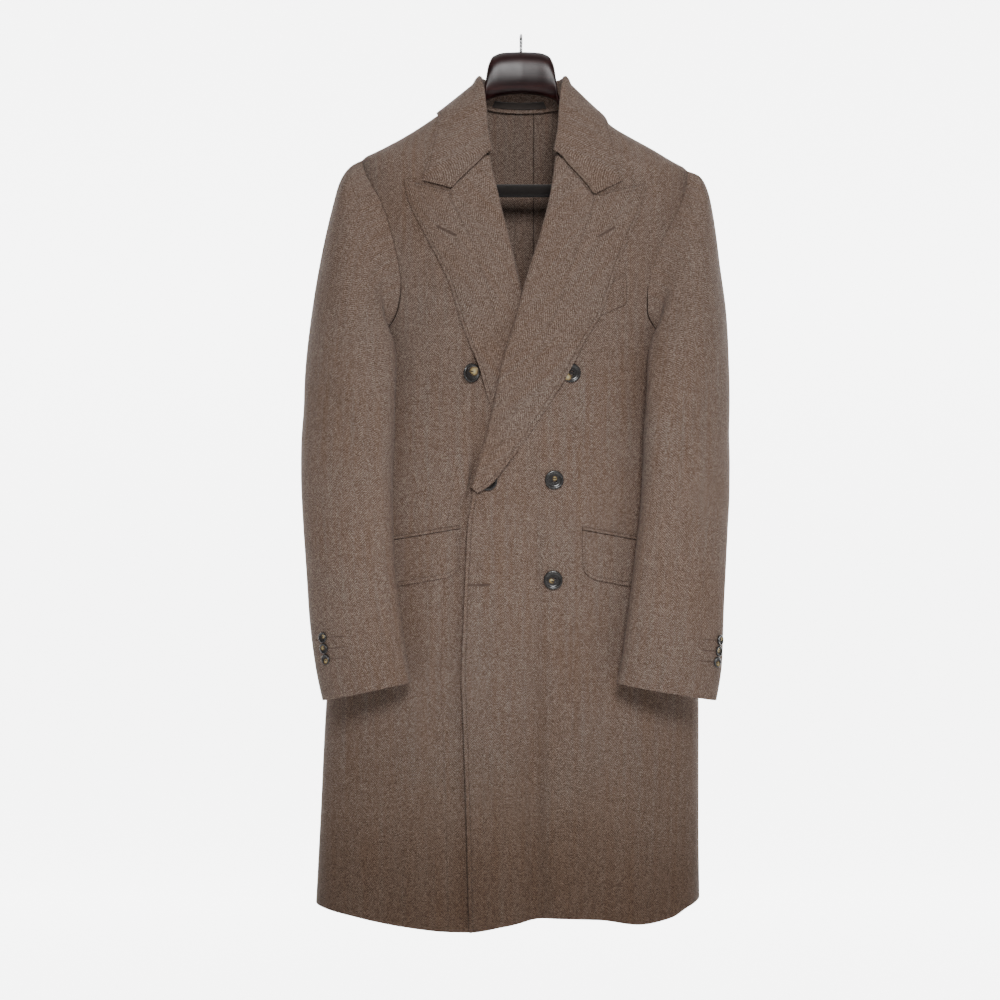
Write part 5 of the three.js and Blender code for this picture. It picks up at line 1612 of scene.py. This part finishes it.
class OVERCOAT_OT_body(bpy.types.Operator):
    """Build the fronts and the backs"""

    bl_idname = "overcoat.body"
    bl_label = "Fronts and Backs"

    def execute(self, context):
        cloth = material("cloth")
        for side in SIDES:
            back_panel(side, cloth)
        front_panel("right", cloth)
        front_panel("left", cloth)
        z = np.linspace(-606, -1140, 90)
        angle = angle_at(OVER_EDGE.at("x", z) + pick_inset(context), z)
        height = hem_z(angle, z)
        line = (on_ring(angle, height, 0 * z + THREAD_REST), ring_normal(angle, height))
        lay_threads("front_edge_stitches", [line], pick_values(context))
        return {"FINISHED"}


def pick_inset(context):
    return context.scene.overcoat_threads.inset / MM


def pick_values(context):
    return {"Spacing": context.scene.overcoat_threads.spacing, "Length": PICK_LENGTH,
            "Thickness": PICK_THICKNESS, "Turn": 0.0, "Material": material("stitch")}


def purl_values(context, length=PURL_LENGTH):
    return {"Spacing": context.scene.overcoat_threads.purl, "Length": length,
            "Thickness": PURL_THICKNESS, "Turn": PI / 2, "Material": material("purl")}


class OVERCOAT_OT_collar(bpy.types.Operator):
    """Build the lapels and the collar with their pick stitches and buttonholes"""

    bl_idname = "overcoat.collar"
    bl_label = "Collar and Lapels"

    def execute(self, context):
        cloth = material("cloth")
        inset = pick_inset(context)
        lines, holes = [], []
        for side, ends in (("left", ((98, -268.5), (119.8, -255.7))),
                           ("right", ((-82.4, -267.3), (-108, -254.5)))):
            outer = lapel(side, cloth)
            lines.append(grid_line(outer[2:], inset, "last column"))
            holes.append(lapel_hole(outer, ends))
        outer = collar(cloth)
        lines.append(grid_line(outer, inset, "first column"))
        lines = [(points + ups * rest_outside(points, ups), ups) for points, ups in lines]
        lay_threads("lapel_stitches", lines, pick_values(context))
        lay_threads("lapel_buttonholes", holes, purl_values(context))
        hanging_loop(material("tape"))
        return {"FINISHED"}


def rest_outside(points, ups):
    """How far threads lie off a cloth along normals that may point in or out."""
    return np.sign(np.sum(points * [1, 1, 0] * ups, -1, keepdims=True)) * THREAD_REST


def lapel_hole(outer, ends):
    """Ring of a buttonhole on a lapel's face between two points given by x and z."""
    flat = outer[:, 12:].reshape(-1, 3)
    spots = []
    for x, z in ends:
        near = np.argsort(np.hypot(flat[:, 0] - x, flat[:, 2] - z))[:4]
        spots.append(np.array([x, flat[near, 1].mean(), z]))
    across = spots[1] - spots[0]
    middle = (spots[0] + spots[1]) / 2
    up = unit(np.cross(across, [0, 0, 1.0]))
    up = up * (-1 if up[1] > 0 else 1)
    length = np.linalg.norm(across)
    near = flat[np.argmin(np.linalg.norm(flat - middle, axis=1))]
    middle = middle + up * max(0.0, float((near - middle) @ up) + 0.1)
    return purl_ring(middle, across / length, up, length / 2, 0.65)


class OVERCOAT_OT_sleeves(bpy.types.Operator):
    """Build the sleeves and the buttonholes of the cuffs"""

    bl_idname = "overcoat.sleeves"
    bl_label = "Sleeves"

    def execute(self, context):
        cloth = material("cloth")
        holes = []
        for side, spots in CUFF_BUTTONS.items():
            for part in ("top", "under"):
                sleeve_piece(side, part, cloth)
            for x, z in spots:
                turn, v = cuff_spot(side, x, z)
                turns = turn + np.linspace(0.12, 0.52, 24)
                point, normal = sleeve_surface(side, turns, v + 0 * turns)
                holes.append((point + normal * 0.05, normal))
        lay_threads("cuff_buttonholes", holes, purl_values(context, CUFF_PURL_LENGTH))
        return {"FINISHED"}


class OVERCOAT_OT_pockets(bpy.types.Operator):
    """Build the pocket flaps, the jets and the chest welt"""

    bl_idname = "overcoat.pockets"
    bl_label = "Pockets"

    def execute(self, context):
        cloth = material("cloth")
        lines = []
        for side in POCKETS:
            outer = pocket(side, cloth)
            points, ups = grid_line(outer, pick_inset(context), "last row")
            ups = ups * np.where(ups[:, 1:2] > 0, -1, 1)
            lines.append((points + ups * THREAD_REST, ups))
        chest_welt(cloth)
        lay_threads("flap_stitches", lines, pick_values(context))
        return {"FINISHED"}


class OVERCOAT_OT_buttons(bpy.types.Operator):
    """Build the front and cuff buttons with their threads and buttonholes"""

    bl_idname = "overcoat.buttons"
    bl_label = "Buttons"

    def execute(self, context):
        threads = front_buttons() + cuff_buttons()
        plain_piece("button_threads", threads, material("stitch"))
        lay_threads("front_buttonhole", [front_hole()], purl_values(context))
        return {"FINISHED"}


def front_buttons():
    """Builds the front buttons and returns the threads that hold them."""
    threads = []
    for cloud, (node, x, z, layer, lift) in zip(FRONT_CLOUDS, FRONT_BUTTONS):
        angle = angle_at(x, z)
        normal = ring_normal(angle, z)
        if layer == "fold":
            c, s = math.cos(FOLD_BUTTON_TURN), math.sin(FOLD_BUTTON_TURN)
            normal = np.array([normal[0] * c - normal[1] * s, normal[0] * s + normal[1] * c, normal[2]])
        base = 0.0 if layer == "over" else float(under_lift(x, z))
        spot = on_ring(angle, z, base + lift)
        name = "button_" + node[len("front_button_"):]
        lines = place_button(name, node, spot, normal, FRONT_BUTTON, FRONT_HOLES, cloud, material("horn"))
        threads += [tube(line, 0.42, 8) for line in lines]
    return threads


def cuff_buttons():
    """Builds the cuff buttons and returns the threads that hold them."""
    threads = []
    for side, spots in CUFF_BUTTONS.items():
        for i, (x, z) in enumerate(spots):
            turn, v = cuff_spot(side, x, z)
            point, normal = sleeve_surface(side, turn, v)
            name = f"{side}_{i + 1}"
            lines = place_button(f"button_cuff_{name}", f"cuff_button_{name}", point[0] + normal[0] * 0.35,
                                 normal[0], CUFF_BUTTON, CUFF_HOLES, CUFF_CLOUDS[i], material("horn"))
            threads += [tube(line, 0.3, 8) for line in lines]
    return threads


def front_hole():
    """Ring of the buttonhole that stays open at the left front's edge."""
    z = FRONT_HOLE_Z
    first, middle, last = (on_front(np.array(x), z, lift)
                           for x, lift in ((-68.0, 0.0), (-54.3, 0.1), (-40.0, 0.0)))
    up = ring_normal(angle_at(-54.3, z), z)
    return purl_ring(middle, unit(last - first), up, 13.5, 0.55)


class OVERCOAT_OT_hanger(bpy.types.Operator):
    """Build the hanger with its bar and hook"""

    bl_idname = "overcoat.hanger"
    bl_label = "Hanger"

    def execute(self, context):
        hanger({name: material(name) for name in ("wood", "flock", "chrome")})
        return {"FINISHED"}


class OVERCOAT_PT_panel(bpy.types.Panel):
    """Steps that dress the overcoat"""

    bl_idname = "OVERCOAT_PT_panel"
    bl_label = "Overcoat"
    bl_space_type = "VIEW_3D"
    bl_region_type = "UI"
    bl_category = "Overcoat"

    def draw(self, context):
        layout = self.layout
        scene = context.scene
        for settings in (scene.overcoat_cloth, scene.overcoat_threads, scene.overcoat_stage):
            box = layout.box()
            for name in settings.__annotations__:
                box.prop(settings, name)
        for operator in OPERATORS:
            layout.operator(operator.bl_idname)


SETTINGS = {"overcoat_cloth": OvercoatCloth, "overcoat_threads": OvercoatThreads,
            "overcoat_stage": OvercoatStage}
OPERATORS = (OVERCOAT_OT_stage, OVERCOAT_OT_body, OVERCOAT_OT_collar, OVERCOAT_OT_sleeves,
             OVERCOAT_OT_pockets, OVERCOAT_OT_buttons, OVERCOAT_OT_hanger)
CLASSES = (*SETTINGS.values(), *OPERATORS, OVERCOAT_PT_panel)


def register():
    for made in CLASSES:
        bpy.utils.register_class(made)
    for name, made in SETTINGS.items():
        setattr(bpy.types.Scene, name, bpy.props.PointerProperty(type=made))


def unregister():
    for name in SETTINGS:
        delattr(bpy.types.Scene, name)
    for made in reversed(CLASSES):
        bpy.utils.unregister_class(made)


def main():
    register()
    for operator in OPERATORS:
        group, name = operator.bl_idname.split(".")
        getattr(getattr(bpy.ops, group), name)()


if __name__ == "__main__":
    main()
